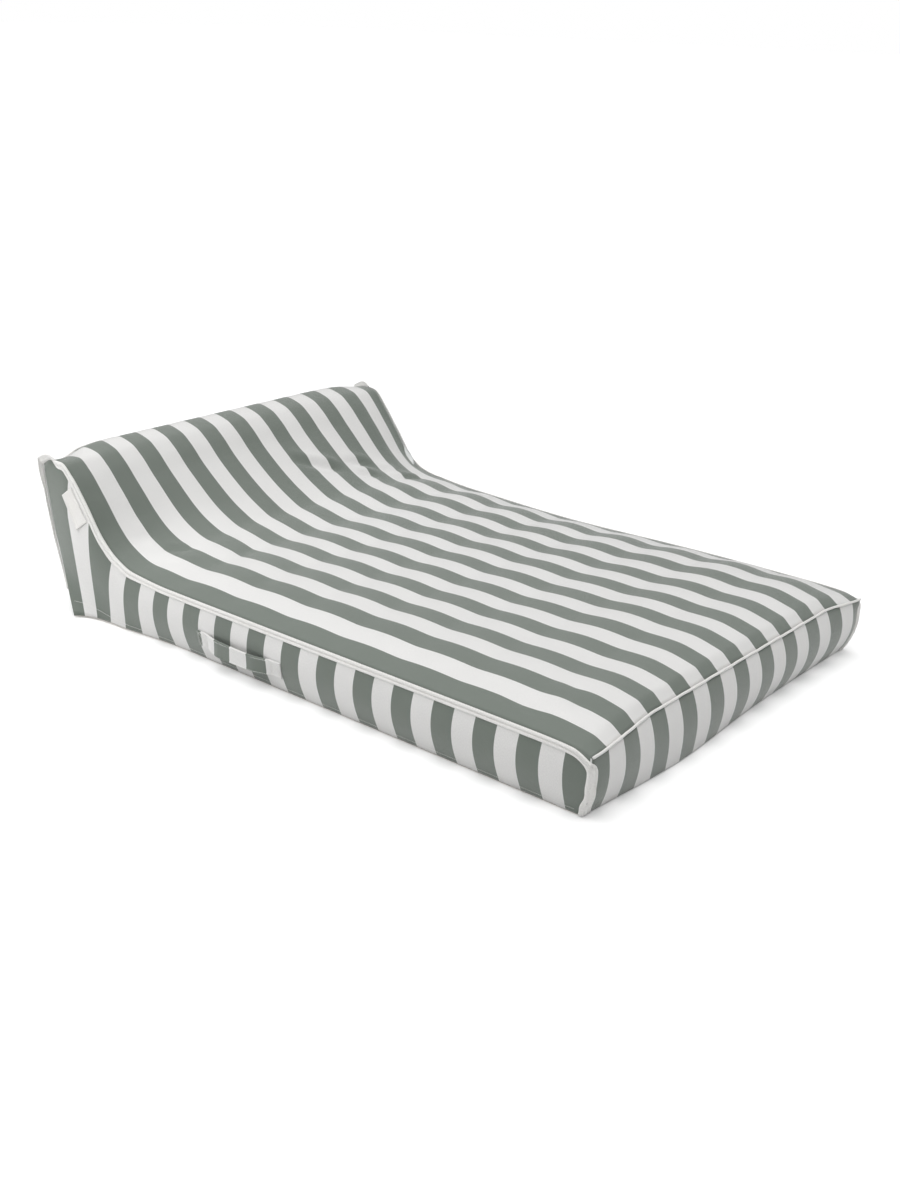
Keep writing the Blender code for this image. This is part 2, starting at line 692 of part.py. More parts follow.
def mattress_ring(x):
    """The mattress bladder's outline in the plane at x, from the foot up and round."""
    x_seat = max(min(x, HALF_WIDTH - 0.55), 0.55 - HALF_WIDTH)
    floor = FLOOR_CLOTH_M + 0.0028
    ring = [Vector((x * STRIPE, (FOOT + 0.75) * STRIPE, floor))]
    for z, v in ((0.5, 0.8), (1.3, 0.45), (2.05, 0.17)):
        y = foot_point(x_seat, v).y + 1.4 * BLADDER_INSET_M
        ring.append(Vector((x * STRIPE, y, z * STRIPE)))
    stations = [FOOT + 0.35]
    for groove in GROOVES[::-1]:
        stations += [groove - CHAMBER_PITCH / 2, groove]
    stations += [7.9, 9.2, 12.0]
    for y in stations:
        point = mattress_top(x_seat, y)
        dip = 0.0015 if y in GROOVES else 0.0
        ring.append(Vector((x * STRIPE, point.y, point.z - dip)))
    low, high = hole_shares(back_lower_point)
    ring.append(Vector((x * STRIPE, 13.9 * STRIPE, SPLIT * STRIPE)))
    for f in (0.88, high, low, 0.08):
        point = inner_back(back_lower_point, x_seat, f)
        ring.append(Vector((x * STRIPE, point.y, point.z)))
    ring.append(Vector((x * STRIPE, 13.2 * STRIPE, floor)))
    ring.append(Vector((x * STRIPE, 6.0 * STRIPE, floor)))
    ring.append(Vector((x * STRIPE, -6.0 * STRIPE, floor)))
    return ring


def headrest_ring(x):
    """The headrest bladder's outline in the plane at x, from its front edge over the top."""
    x_in = max(min(x, HALF_WIDTH - 0.55), 0.55 - HALF_WIDTH)
    c = crown(x_in, CREASE)
    front = 10.75 - 2.0 * c
    base = SPLIT * STRIPE + 0.001
    ring = [Vector((x * STRIPE, front * STRIPE, base))]
    for share in (0.04, 0.2, 0.4, 0.6, 0.8, 1.0):
        ring.append(top_point(x_in, front + (13.94 - front) * share, INSIDE * 1.6))
    ring.append(top_point(x_in, 14.6, INSIDE))
    low, high = hole_shares(back_upper_point)
    for f in (0.93, high, low, 0.07):
        point = inner_back(back_upper_point, x_in, f)
        ring.append(Vector((x * STRIPE, point.y, point.z)))
    ring.append(Vector((x * STRIPE, 14.1 * STRIPE, base)))
    for point in ring:
        point.x = x * STRIPE
    return ring


def shrunk(ring, inset):
    """A bladder's ring near its side, scaled so that each edge comes in by inset stripes."""
    low = Vector((0, min(p.y for p in ring), min(p.z for p in ring)))
    high = Vector((0, max(p.y for p in ring), max(p.z for p in ring)))
    middle, size = (low + high) / 2, (high - low) / STRIPE
    factors = Vector((0, 1 - 2 * inset / size.y, 1 - 2 * inset / size.z))
    made = []
    for p in ring:
        y = middle.y + (p.y - middle.y) * factors.y
        z = middle.z + (p.z - middle.z) * factors.z
        under_head = min(max(y / STRIPE - 8.0, 0), 1) * bool(inset)
        x = p.x - math.copysign(UNDER_HEAD_INSET * STRIPE * under_head, p.x)
        made.append(Vector((x, y, z)))
    return made


def make_bladder(name, ring_at, point, valve_x):
    """A film bladder: rings across the lounger, rounded at both sides, open at its valve."""
    half = HOLE_HALF_M / STRIPE
    inner = [x for x in ACROSS if abs(x) < HALF_WIDTH - 0.9 and abs(x - valve_x) > half + 0.3]
    inner = sorted(inner + [valve_x - half, valve_x + half])
    ends = [(HALF_WIDTH + past, inset) for past, inset in END_STEPS]
    stations = [(-x, inset) for x, inset in ends[::-1]] + [(x, 0.0) for x in inner] + ends
    rings = [shrunk(ring_at(x), inset) for x, inset in stations]
    row = [x for x, _ in stations].index(valve_x - half)
    low, _ = hole_shares(point)
    edge = inner_back(point, valve_x, low)
    column = min(range(len(rings[0])), key=lambda j: (rings[row][j].yz - edge.yz).length)
    made = loft(name, rings, FILM, hole=(row, column - 1))
    thicken(made, WALL_M)
    return rings


def make_web(name, rings, low_of, high_of):
    """An upright film web across a bladder, from its floor to its top."""
    bm = bmesh.new()
    clear = WALL_M + 2 * GAP_M
    columns = []
    for ring in rings:
        low, high = low_of(ring), high_of(ring)
        low.z += clear
        high.z -= clear * 1.5
        low.y = high.y
        columns.append((bm.verts.new(low), bm.verts.new(high)))
    for (a, b), (c, d) in zip(columns, columns[1:]):
        bm.faces.new((a, b, d, c))
    thicken(add_object(name, bm, FILM), WALL_M)


def make_bladders():
    rings = make_bladder("mattress_bladder", mattress_ring, back_lower_point, MAIN_VALVE_X)
    inside = rings[3:-3]
    for k, groove in enumerate(GROOVES[::-1]):
        at = min(range(len(rings[0]) // 2 + 8), key=lambda j: abs(inside[5][j].y - groove * STRIPE) + (j < 4))
        make_web(f"mattress_web_{k + 1}", inside, lambda ring: ring[0].copy(), lambda ring, at=at: ring[at].copy())
    rings = make_bladder("headrest_bladder", headrest_ring, back_upper_point, HEAD_VALVE_X)
    for name, at in (("headrest_web_front", 3), ("headrest_web_rear", 5)):
        make_web(name, rings[3:-3], lambda ring: ring[0].copy(), lambda ring, at=at: ring[at].copy())


def main():
    clear_scene()
    make_top_panel()
    make_side_panels()
    make_foot_panel()
    make_back_panels()
    make_bottom_panel()
    make_seam_bands()
    make_corner_bands()
    make_end_piping()
    make_handles()
    make_label()
    make_zip_strips()
    make_zip_slider()
    make_zip_pull()
    make_valves_and_ports()
    make_bladders()


main()
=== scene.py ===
import math

import bmesh
import bpy
import numpy as np
from mathutils import Matrix, Vector


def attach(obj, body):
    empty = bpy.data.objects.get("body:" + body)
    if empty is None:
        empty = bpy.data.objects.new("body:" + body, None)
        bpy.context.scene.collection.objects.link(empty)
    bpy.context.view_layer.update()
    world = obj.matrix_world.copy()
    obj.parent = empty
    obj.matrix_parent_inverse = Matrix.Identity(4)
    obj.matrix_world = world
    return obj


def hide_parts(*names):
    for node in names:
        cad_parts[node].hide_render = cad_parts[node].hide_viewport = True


# Looks of an inflatable double pool lounger: a striped, sewn cover over two air
# bladders. Lengths are in woven stripes of the cover unless a name ends in _M
# (metres). -Y is the foot end, +Y the headrest; left is -X, seen from the foot.

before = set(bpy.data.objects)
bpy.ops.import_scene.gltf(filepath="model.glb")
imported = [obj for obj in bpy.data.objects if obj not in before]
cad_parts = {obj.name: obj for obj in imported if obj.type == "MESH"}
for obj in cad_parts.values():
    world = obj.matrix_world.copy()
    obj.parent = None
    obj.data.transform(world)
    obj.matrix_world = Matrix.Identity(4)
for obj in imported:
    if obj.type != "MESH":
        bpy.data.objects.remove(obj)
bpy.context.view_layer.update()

STRIPE = 0.055
HALF_WIDTH = 10.35
FOOT, CREST = -15.37, 15.38
SIDE_BULGE, SIDE_TUCK = 0.30, 0.16
FOOT_BULGE, FOOT_TUCK = 0.25, 0.45
CORNER_BULGE, CORNER_REACH = 0.06, 3.0
CHAMBER_PITCH, FIRST_GROOVE, CHAMBER_WEBS = 3.05, 6.63, 7
CREASE = 10.3
CREST_BOW = 0.37
BACK_FOOT, ZIP_LINE = (13.62, 0.05), (14.605, 3.15)
ZIP_WINDOW_M = 0.008
SEAM_PROFILE = [
    (-15.37, 2.50), (-14.60, 2.66), (-12.80, 2.70), (6.70, 2.65), (9.20, 2.80), (10.28, 3.19),
    (11.18, 3.88), (12.33, 5.36), (13.18, 6.33), (13.94, 6.84), (14.70, 6.84), (15.38, 6.50),
]
CROWN_PROFILE = [
    (-15.37, 2.58), (-14.70, 3.05), (-13.20, 3.30), (6.70, 3.28), (8.70, 3.54), (9.90, 4.03),
    (10.90, 4.60), (12.40, 5.68), (13.30, 6.50), (13.94, 6.93), (14.70, 7.10), (15.38, 6.74),
]
CLOTH_M = 0.001
SIDE_STRIPE_START = 13.68           # Y of the side panels' first stripe edge


# ---------------------------------------------------------------- the cover's shape


def smooth_curve(points):
    """A function through the points that never swings past them (monotone cubic)."""
    xs, ys = np.array(points, float).T
    steps = np.diff(ys) / np.diff(xs)
    before, after = steps[:-1], steps[1:]
    rising = before * after > 0
    middle = np.where(rising, 2 * before * after / np.where(rising, before + after, 1), 0)
    slopes = np.concatenate([steps[:1], middle, steps[-1:]])

    def value(x):
        i = np.clip(np.searchsorted(xs, x, "right") - 1, 0, len(xs) - 2)
        span = xs[i + 1] - xs[i]
        t = (x - xs[i]) / span
        start = (1 + 2 * t) * (1 - t) ** 2 * ys[i] + t * (1 - t) ** 2 * span * slopes[i]
        end = t * t * (3 - 2 * t) * ys[i + 1] + t * t * (t - 1) * span * slopes[i + 1]
        return start + end

    return value


seam_height = smooth_curve(SEAM_PROFILE)
crown_height = smooth_curve(CROWN_PROFILE)


def smooth_step(t):
    t = np.clip(t, 0, 1)
    return t * t * (3 - 2 * t)


def ease_out(distance, reach, power=2.3):
    """0 at distance 0, rising to 1 at reach."""
    return 1 - (1 - np.clip(distance / reach, 0, 1)) ** power


def crown(x, y):
    """How far the top has risen from its seam profile to its mid-width profile."""
    reach = 4 + 5 * np.exp(-(((y - CREASE) / 2.2) ** 2))
    return ease_out(HALF_WIDTH - np.abs(x), reach)


def in_metres(x, y, z):
    return np.stack(np.broadcast_arrays(x, y, z), axis=-1) * STRIPE


CHAMBER_ROUNDNESS = 0.4             # 0 gives sharp grooves, large numbers a sine wave


def chamber_wave(x, y):
    """Height of the air chambers' humps and grooves about the plain top."""
    wave = np.hypot(np.sin(np.pi * (y - FIRST_GROOVE) / CHAMBER_PITCH), CHAMBER_ROUNDNESS)
    low, high = CHAMBER_ROUNDNESS, math.hypot(1, CHAMBER_ROUNDNESS)
    wave = 2 * (wave - low) / (high - low) - 1
    size = 0.045 + 0.03 * smooth_step(x / HALF_WIDTH) - 0.012 * smooth_step(-x / HALF_WIDTH)
    size = size * (0.75 + 0.25 * smooth_step((y + 12) / 16))
    near_head = smooth_step((9.4 - y) / 1.6)
    near_foot = smooth_step((y + 14.6) / 1.8)
    return wave * size * near_head * near_foot * ease_out(HALF_WIDTH - np.abs(x), 1.6, 2)


def crest_pinch(x, y):
    """How far the crest is pulled down beside its corners, most of all at the left one."""
    beside = np.exp(-(((HALF_WIDTH - np.abs(x) - 1.0) / 0.95) ** 2))
    return np.where(x < 0, 0.30, 0.04) * beside * smooth_step((y - 13.7) / 1.6)


# Folds pressed into the top where the headrest meets the seat: two ends, depth, width
FOLDS = [
    ((1.74, 11.50), (2.49, 11.15), 0.10, 0.20), ((2.49, 11.15), (4.10, 10.45), 0.16, 0.20),
    ((5.00, 10.78), (6.40, 10.40), 0.13, 0.17), ((5.00, 10.05), (5.95, 9.62), 0.15, 0.17),
    ((6.70, 10.10), (7.60, 9.72), 0.12, 0.16), ((7.05, 9.38), (8.60, 8.94), 0.13, 0.18),
    ((-8.31, 9.48), (-7.48, 8.72), 0.07, 0.17), ((-9.30, 10.90), (-8.50, 10.30), 0.05, 0.28),
    ((-9.20, 9.20), (-8.40, 7.40), 0.03, 0.35), ((-7.20, 6.30), (-5.20, 7.00), 0.04, 0.30),
    ((-8.60, -13.60), (-7.00, -12.20), 0.05, 0.35), ((-9.60, -12.60), (-9.10, -10.60), 0.04, 0.30),
]


def folds(x, y):
    """Height of the pressed-in folds: a sharp valley beside a softer ridge."""
    total = 0 * x * y
    for (x0, y0), (x1, y1), depth, width in FOLDS:
        length = math.hypot(x1 - x0, y1 - y0)
        ux, uy = (x1 - x0) / length, (y1 - y0) / length
        along = (x - x0) * ux + (y - y0) * uy
        across = ((y - y0) * ux - (x - x0) * uy) / width
        ends = smooth_step((along + 0.35) / 0.7) * smooth_step((length + 0.35 - along) / 0.7)
        valley = np.exp(-np.abs(across) ** 1.5)
        ridge = 0.75 * np.exp(-(((across - 1.9) / 1.3) ** 2))
        total = total + depth * ends * (ridge - valley)
    return total


def top_surface(x, y):
    """Points of the top panel. y is counted along the side seam."""
    c = crown(x, y)
    back = CREST_BOW * np.maximum(0.0, (y - 13.0) / (CREST - 13.0)) ** 2
    z = seam_height(y) + c * (crown_height(y) - seam_height(y)) + chamber_wave(x, y)
    z = z + slump(x, y) - crest_pinch(x, y) + 0.33 * foot_inset(x, y - FOOT)
    z = z + folds(x, y) * ease_out(HALF_WIDTH - np.abs(x), 0.7)
    return in_metres(x, y + c * back + foot_inset(x, y - FOOT), z)


def hump(v):
    return np.sin(np.pi * np.clip(v, 0, 1) ** 0.85)


def panel_swell(v, from_corner, bulge, tuck):
    """How far a side or foot panel stands outside its top seam. v: 0 top, 1 floor."""
    share = ease_out(from_corner, CORNER_REACH)
    return (CORNER_BULGE + (bulge - CORNER_BULGE) * share) * hump(v) - tuck * np.clip(v, 0, 1) ** 3


def side_swell(y, v):
    spread = HEM_SPREAD * smooth_step((y - 6.0) / 5.0) * np.clip(v, 0, 1) ** 3
    return panel_swell(v, np.minimum(y - FOOT, CREST - y), SIDE_BULGE, SIDE_TUCK) + spread


def corner_widening(v):
    """Share by which the end panels are wider or narrower than the top at v."""
    return 1 + side_swell(FOOT, v) / HALF_WIDTH


def back_y(z):
    """Y of the back at an upright corner: straight below and above the zip."""
    return np.interp(z, [BACK_FOOT[1], ZIP_LINE[1], 6.5], [BACK_FOOT[0], ZIP_LINE[0], CREST])


def column_shift(y, v):
    """How far a side panel's column moves along Y below its top, which is at y."""
    to_foot = np.clip((-14.0 - y) / (-14.0 - FOOT), 0, 1)
    to_back = np.clip((y - 9.0) / (CREST - 9.0), 0, 1)
    corner_z = 6.5 * (1 - v) + BACK_FOOT[1] * v
    foot_shift = -panel_swell(v, 0, FOOT_BULGE, FOOT_TUCK)
    return to_foot * foot_shift + to_back * (back_y(corner_z) - CREST)


HEAD_HEM_LIFT = 0.06                # how far the head corners' hem stands off the floor
FLARE_HEIGHT = 1.9                  # below this the loose cloth of the head corners splays
FLARE_OUT, FLARE_FORWARD = 0.72, 1.25
HEM_SPREAD = 0.42                   # how far the headrest end's hem stands out from the seam


def hem_height(y):
    """Height of the side panels' hem, which lifts towards the head corners."""
    return BACK_FOOT[1] + HEAD_HEM_LIFT * smooth_step((y - 6.0) / 7.0)


def flare(from_corner, z):
    """Share of the full splay, at a distance from a head corner's upright and a height."""
    near = np.clip(1 - from_corner / 5.0, 0, 1) ** 2.2
    return near * np.clip(1 - z / FLARE_HEIGHT, 0, 1) ** 1.6


def slump(x, y):
    """How far the filled cover stands above its plain profile, where it isn't even."""
    full = 0.18 * smooth_step((x + 6) / 6) * np.exp(-(((y + 11) / 3) ** 2))
    slack = 0.20 * smooth_step((x - 1) / 7) * np.exp(-(((y - 0.5) / 5.5) ** 2))
    shoulder = 0.42 * smooth_step((x - 8.2) / 2.1) * smooth_step((y - 9) / 2.5)
    shoulder = shoulder * (1 - 0.85 * smooth_step((y - 12.6) / 1.8))
    return full * ease_out(HALF_WIDTH - np.abs(x), 3) - slack - shoulder


def foot_inset(x, from_foot):
    """How far the foot seam is drawn in towards the middle, away from the left corner."""
    share = smooth_step((x + 10) / 4.5) * smooth_step((HALF_WIDTH - x) / 3.0)
    return 0.30 * share * np.exp(-((from_foot / 0.9) ** 2))


def side_surface(side, y, v):
    """Points of a side panel: side is -1 left, 1 right; v runs from the seam to the hem."""
    inset = foot_inset(side * HALF_WIDTH, y - FOOT)
    top = seam_height(y) + slump(side * HALF_WIDTH, y) + 0.33 * inset
    z = top * (1 - v) + hem_height(y) * v
    splay = flare(CREST - y, z)
    out = HALF_WIDTH + side_swell(y, v) + FLARE_OUT * splay
    back = column_shift(y, v) + inset * (1 - v) - FLARE_FORWARD * splay
    return in_metres(side * out, y + back, z)


def foot_surface(x, v):
    """Points of the foot panel: v runs from the seam to the hem."""
    swell = panel_swell(v, HALF_WIDTH - np.abs(x), FOOT_BULGE, FOOT_TUCK)
    loose_hem = 0.42 * np.exp(-(((x + 4.5) / 5) ** 2)) * np.clip(v, 0, 1) ** 3
    z = top_surface(x, FOOT)[..., 2] / STRIPE * (1 - v) + BACK_FOOT[1] * v
    inset = foot_inset(x, 0) * (1 - v)
    return in_metres(x * corner_widening(v), FOOT - swell - loose_hem + inset, z)


def widened(points):
    """Back panel points moved to meet the side panels' corner, splayed near the floor."""
    z = points[..., 2] / STRIPE
    v = np.clip(1 - z / 6.5, 0, 1)
    x = points[..., 0] / STRIPE
    splay = flare(HALF_WIDTH - np.abs(x), z)
    points[..., 0] = x * corner_widening(v) * STRIPE + np.sign(x) * FLARE_OUT * splay * STRIPE
    points[..., 1] -= FLARE_FORWARD * splay * STRIPE
    return points


ZIP_UP = np.array([0, ZIP_LINE[0] - BACK_FOOT[0], ZIP_LINE[1] - BACK_FOOT[1]])
ZIP_UP = ZIP_UP / np.linalg.norm(ZIP_UP)


def zip_window(x):
    """Half the gap between the back panels, which closes at both ends of the zip."""
    half = ZIP_WINDOW_M * smooth_step((HALF_WIDTH - 0.25 - np.abs(x)) / 0.9) + 0.0002
    return half[..., None] * ZIP_UP


def back_lower_surface(x, f):
    """f: 0 at the floor seam, 1 at the zip."""
    low = in_metres(x, BACK_FOOT[0], hem_height(CREST) * np.ones_like(x))
    high = in_metres(x, *ZIP_LINE) - zip_window(x)
    f = np.asarray(f)[..., None]
    return widened(low * (1 - f) + high * f)


def back_upper_surface(x, f):
    """f: 0 at the zip, 1 at the crest."""
    low = in_metres(x, *ZIP_LINE) + zip_window(x)
    f = np.asarray(f)[..., None]
    return widened(low * (1 - f) + top_surface(x, CREST * np.ones_like(x)) * f)


# ---------------------------------------------------------------- mesh helpers

UV_NAME = "cloth"                   # u across the stripes and v along them, in stripes


def linked(name, data):
    """A new object of the scene."""
    made = bpy.data.objects.new(name, data)
    bpy.context.scene.collection.objects.link(made)
    return made


def set_uvs(mesh, uvs):
    """Gives each corner of a mesh's faces its vertex's pair of uvs."""
    layer = mesh.uv_layers.new(name=UV_NAME)
    index = np.empty(len(mesh.loops), np.int32)
    mesh.loops.foreach_get("vertex_index", index)
    layer.data.foreach_set("uv", np.asarray(uvs, np.float32)[index].ravel())


def new_object(name, vertices, faces, material=None, uvs=None, body="float"):
    """A smooth-shaded mesh object that rides on a body. uvs holds one pair for each vertex."""
    mesh = bpy.data.meshes.new(name)
    mesh.from_pydata([tuple(p) for p in vertices], [], [tuple(f) for f in faces])
    mesh.validate()
    if uvs is not None:
        set_uvs(mesh, uvs)
    made = linked(name, mesh)
    mesh.shade_smooth()
    if material:
        mesh.materials.append(material)
    if body:
        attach(made, body)
    return made


def grid_faces(rows, columns, flip=False, wrap=False, start=0):
    """Quads of a grid of rows × columns points. wrap joins the last column to the first."""
    i, j = np.meshgrid(np.arange(rows - 1), np.arange(columns - (not wrap)), indexing="ij")
    k = (j + 1) % columns
    here, there = i * columns, (i + 1) * columns
    quads = np.stack([here + j, here + k, there + k, there + j], -1).reshape(-1, 4) + start
    return quads[:, ::-1] if flip else quads


def grid_normals(points):
    """Unit normals of a grid of points, from its differences."""
    along = np.gradient(points, axis=0)
    across = np.gradient(points, axis=1)
    normal = np.cross(across, along)
    return normal / np.maximum(np.linalg.norm(normal, axis=-1, keepdims=True), 1e-12)


def closed_ends(rows, columns, start=0):
    """Caps for the first and last ring of a lofted body, one face each."""
    first = list(range(start, start + columns))
    last = list(range(start + (rows - 1) * columns, start + rows * columns))
    return [first[::-1], last]


def face_out(made):
    """Turns a closed body's faces outwards."""
    bm = bmesh.new()
    bm.from_mesh(made.data)
    bmesh.ops.recalc_face_normals(bm, faces=bm.faces)
    bm.to_mesh(made.data)
    bm.free()


def arc_lengths(path):
    steps = np.linalg.norm(np.diff(path, axis=0), axis=1)
    return np.concatenate([[0], np.cumsum(steps)])


def loft(name, rings, material, uvs=None, body="float"):
    """A closed body skinned over rings of equal length."""
    rings = np.asarray(rings)
    rows, columns = rings.shape[:2]
    faces = grid_faces(rows, columns, wrap=True).tolist() + closed_ends(rows, columns)
    made = new_object(name, rings.reshape(-1, 3), faces, material, uvs, body)
    face_out(made)
    return made


def path_frames(path, up):
    """Tangents, side vectors and normals along a path; up is near the wanted normals."""
    tangent = np.gradient(path, axis=0)
    tangent /= np.linalg.norm(tangent, axis=1, keepdims=True)
    up = np.broadcast_to(np.asarray(up, float), path.shape)
    normal = up - tangent * (up * tangent).sum(1, keepdims=True)
    normal /= np.linalg.norm(normal, axis=1, keepdims=True)
    return tangent, np.cross(tangent, normal), normal


def tube(name, path, radius, material, up=(0, 0, 1), sides=12, body="float"):
    """A round cord along a path, with caps. radius is one number or one for each point."""
    path = np.asarray(path, float)
    _, side, normal = path_frames(path, up)
    angles = np.arange(sides) * 2 * np.pi / sides
    radius = np.broadcast_to(radius, len(path))[:, None, None]
    rings = path[:, None] + radius * (
        np.cos(angles)[None, :, None] * side[:, None] + np.sin(angles)[None, :, None] * normal[:, None]
    )
    around = np.broadcast_to(angles * np.mean(radius) / STRIPE, (len(path), sides))
    along = np.broadcast_to(arc_lengths(path)[:, None] / STRIPE, (len(path), sides))
    uvs = np.stack([around, along], -1).reshape(-1, 2)
    return loft(name, rings, material, uvs, body)


STITCH_RADIUS_M = 0.00042
STITCH_SIDES = 6


def stitch_rows(name, rows, material, length=0.0038, pitch=0.0052, slant=0.0, body="float"):
    """Lock stitches as short raised threads along rows of (path, the way that is out)."""
    vertices, faces = [], []
    shares = np.array([0.0, 0.12, 0.5, 0.88, 1.0])
    lift = np.array([-0.4, 0.55, 0.9, 0.55, -0.4]) * STITCH_RADIUS_M
    fat = np.array([0.5, 0.9, 1.0, 0.9, 0.5]) * STITCH_RADIUS_M
    angles = np.arange(STITCH_SIDES) * 2 * np.pi / STITCH_SIDES
    for path, up in rows:
        lengths = arc_lengths(path)
        field = np.concatenate([path, *path_frames(path, up)], axis=1)
        for start in np.arange(0.5 * (pitch - length), lengths[-1] - length, pitch):
            at = np.array([np.interp(start + 0.5 * length, lengths, part) for part in field.T])
            middle, t, s, n = at[:3], at[3:6], at[6:9], at[9:12]
            t = t + slant * s
            t = t / np.linalg.norm(t)
            s = np.cross(t, n)
            line = middle + np.outer((shares - 0.5) * length, t) + np.outer(lift, n)
            ring = np.cos(angles)[:, None] * s + np.sin(angles)[:, None] * n
            rings = line[:, None] + fat[:, None, None] * ring[None]
            base = len(vertices)
            vertices.extend(rings.reshape(-1, 3))
            faces.extend(grid_faces(len(shares), STITCH_SIDES, wrap=True, start=base).tolist())
            faces.extend(closed_ends(len(shares), STITCH_SIDES, start=base))
    return new_object(name, vertices, faces, material, body=body)


# ---------------------------------------------------------------- materials


class Nodes:
    """A short way to write a material's node tree."""

    def __init__(self, name):
        self.material = bpy.data.materials.new(name)
        self.material.use_nodes = True
        self.tree = self.material.node_tree
        self.shader = self.tree.nodes["Principled BSDF"]

    def add(self, kind, inputs=(), **settings):
        node = self.tree.nodes.new(kind)
        for key, value in settings.items():
            setattr(node, key, value)
        for key, value in dict(inputs).items():
            self.put(node.inputs[key], value)
        return node

    def put(self, socket, value):
        if isinstance(value, bpy.types.NodeSocket):
            self.tree.links.new(value, socket)
        else:
            socket.default_value = value

    def maths(self, operation, a, b=0.0, clamp=False):
        inputs = {0: a, 1: b}
        return self.add("ShaderNodeMath", inputs, operation=operation, use_clamp=clamp).outputs[0]

    def mix(self, share, a, b):
        node = self.add("ShaderNodeMix", data_type="RGBA")
        for k, value in ((0, share), (6, a), (7, b)):
            self.put(node.inputs[k], value)
        return node.outputs[2]

    def noise(self, vector, scale, detail=2.0, roughness=0.5):
        inputs = {"Vector": vector, "Scale": scale, "Detail": detail, "Roughness": roughness}
        return self.add("ShaderNodeTexNoise", inputs).outputs["Fac"]

    def ramp(self, value, low, high):
        """Maps 0..1 to low..high."""
        return self.add("ShaderNodeMapRange", {0: value, 3: low, 4: high}).outputs[0]

    def bump(self, height, distance, strength=1.0, before=None):
        inputs = {"Height": height, "Distance": distance, "Strength": strength}
        node = self.add("ShaderNodeBump", inputs)
        if before is not None:
            self.put(node.inputs["Normal"], before)
        return node.outputs[0]

    def finish(self, sockets):
        """Sets or links the shader's own sockets and gives back the material."""
        for name, value in sockets.items():
            self.put(self.shader.inputs[name], value)
        return self.material


def grey(value):
    return (value, value, value, 1)


def scaled(nodes, vector, factors):
    return nodes.add("ShaderNodeVectorMath", {0: vector, 1: factors}, operation="MULTIPLY").outputs[0]


THREADS = 96                        # woven threads in one stripe, about 0.57 mm each


def weave_height(nodes, vector, threads):
    """A plain weave: warp and weft pass over and under each other by turns."""
    parts = nodes.add("ShaderNodeSeparateXYZ", {0: vector})
    across, along = (
        nodes.maths("SINE", nodes.maths("MULTIPLY", parts.outputs[k], math.pi * threads))
        for k in (0, 1)
    )
    return nodes.maths("ABSOLUTE", nodes.maths("MULTIPLY", across, along))


WEAVE_M = 0.00012                   # height of a thread's crossing over another
SHEEN, SHEEN_ROUGHNESS = 0.80, 0.40
CLOTH_SPECULAR, CLOTH_ROUGHNESS = 0.55, 0.60


def cloth_finish(nodes, colour, vector, threads=THREADS, roughness=CLOTH_ROUGHNESS):
    """Adds painted shade in the weave's hollows, faint mottling, sheen and bump to a cloth's colour."""
    weave = weave_height(nodes, vector, threads)
    fleck = nodes.noise(scaled(nodes, vector, (34, 13, 1)), 1.0, 3.0, 0.65)
    cloud = nodes.noise(vector, 0.55, 3.0)
    # The weave's low points are painted darker, as painted shade between the threads; fleck and cloud are
    # the yarn's own uneven tone.
    painted_weave_shade_and_mottle = nodes.maths("MULTIPLY", nodes.ramp(weave, 0.93, 1.03), nodes.ramp(fleck, 0.84, 1.16))
    painted_weave_shade_and_mottle = nodes.maths("MULTIPLY", painted_weave_shade_and_mottle, nodes.ramp(cloud, 0.965, 1.035))
    colour_with_painted_shade = nodes.add("ShaderNodeVectorMath", {0: colour}, operation="SCALE")
    nodes.put(colour_with_painted_shade.inputs["Scale"], painted_weave_shade_and_mottle)
    pucker = nodes.bump(nodes.noise(vector, 2.2, 3.0, 0.55), 0.0011, 0.6)
    return nodes.finish({
        "Base Color": colour_with_painted_shade.outputs[0],
        "Roughness": nodes.ramp(fleck, roughness - 0.08, roughness + 0.08),
        "Sheen Weight": SHEEN,
        "Sheen Roughness": SHEEN_ROUGHNESS,
        "Specular IOR Level": CLOTH_SPECULAR,
        "Normal": nodes.bump(weave, WEAVE_M, 0.6, before=pucker),
    })


GREEN = (0.150, 0.176, 0.150, 1)
WHITE = (0.780, 0.775, 0.762, 1)
EDGE_SHARPNESS = 60                 # how crisp a stripe's woven edge is


def striped_cloth(name, dark=GREEN, light=WHITE):
    """Yarn-dyed stripes: dark where the whole part of u is even."""
    nodes = Nodes(name)
    cloth = nodes.add("ShaderNodeUVMap", uv_map=UV_NAME).outputs[0]
    u = nodes.add("ShaderNodeSeparateXYZ", {0: cloth}).outputs[0]
    ragged = nodes.noise(scaled(nodes, cloth, (9, 60, 1)), 1.0, 1.0)
    u = nodes.maths("ADD", u, nodes.ramp(ragged, -0.008, 0.008))
    wave = nodes.maths("SINE", nodes.maths("MULTIPLY", u, math.pi))
    share = nodes.maths("ADD", nodes.maths("MULTIPLY", wave, EDGE_SHARPNESS), 0.5, clamp=True)
    return cloth_finish(nodes, nodes.mix(share, light, dark), cloth)


def plain_cloth(name, colour, threads=THREADS, roughness=0.82, by_uv=True):
    """Undyed cloth with a faint warm tint in places."""
    nodes = Nodes(name)
    if by_uv:
        vector = nodes.add("ShaderNodeUVMap", uv_map=UV_NAME).outputs[0]
    else:
        place = nodes.add("ShaderNodeTexCoord").outputs["Object"]
        vector = scaled(nodes, place, (1 / STRIPE,) * 3)
    tint = nodes.noise(vector, 0.9, 2.0)
    warm = tuple(c * w for c, w in zip(colour, (0.985, 0.975, 0.955, 1)))
    return cloth_finish(nodes, nodes.mix(tint, colour, warm), vector, threads, roughness)


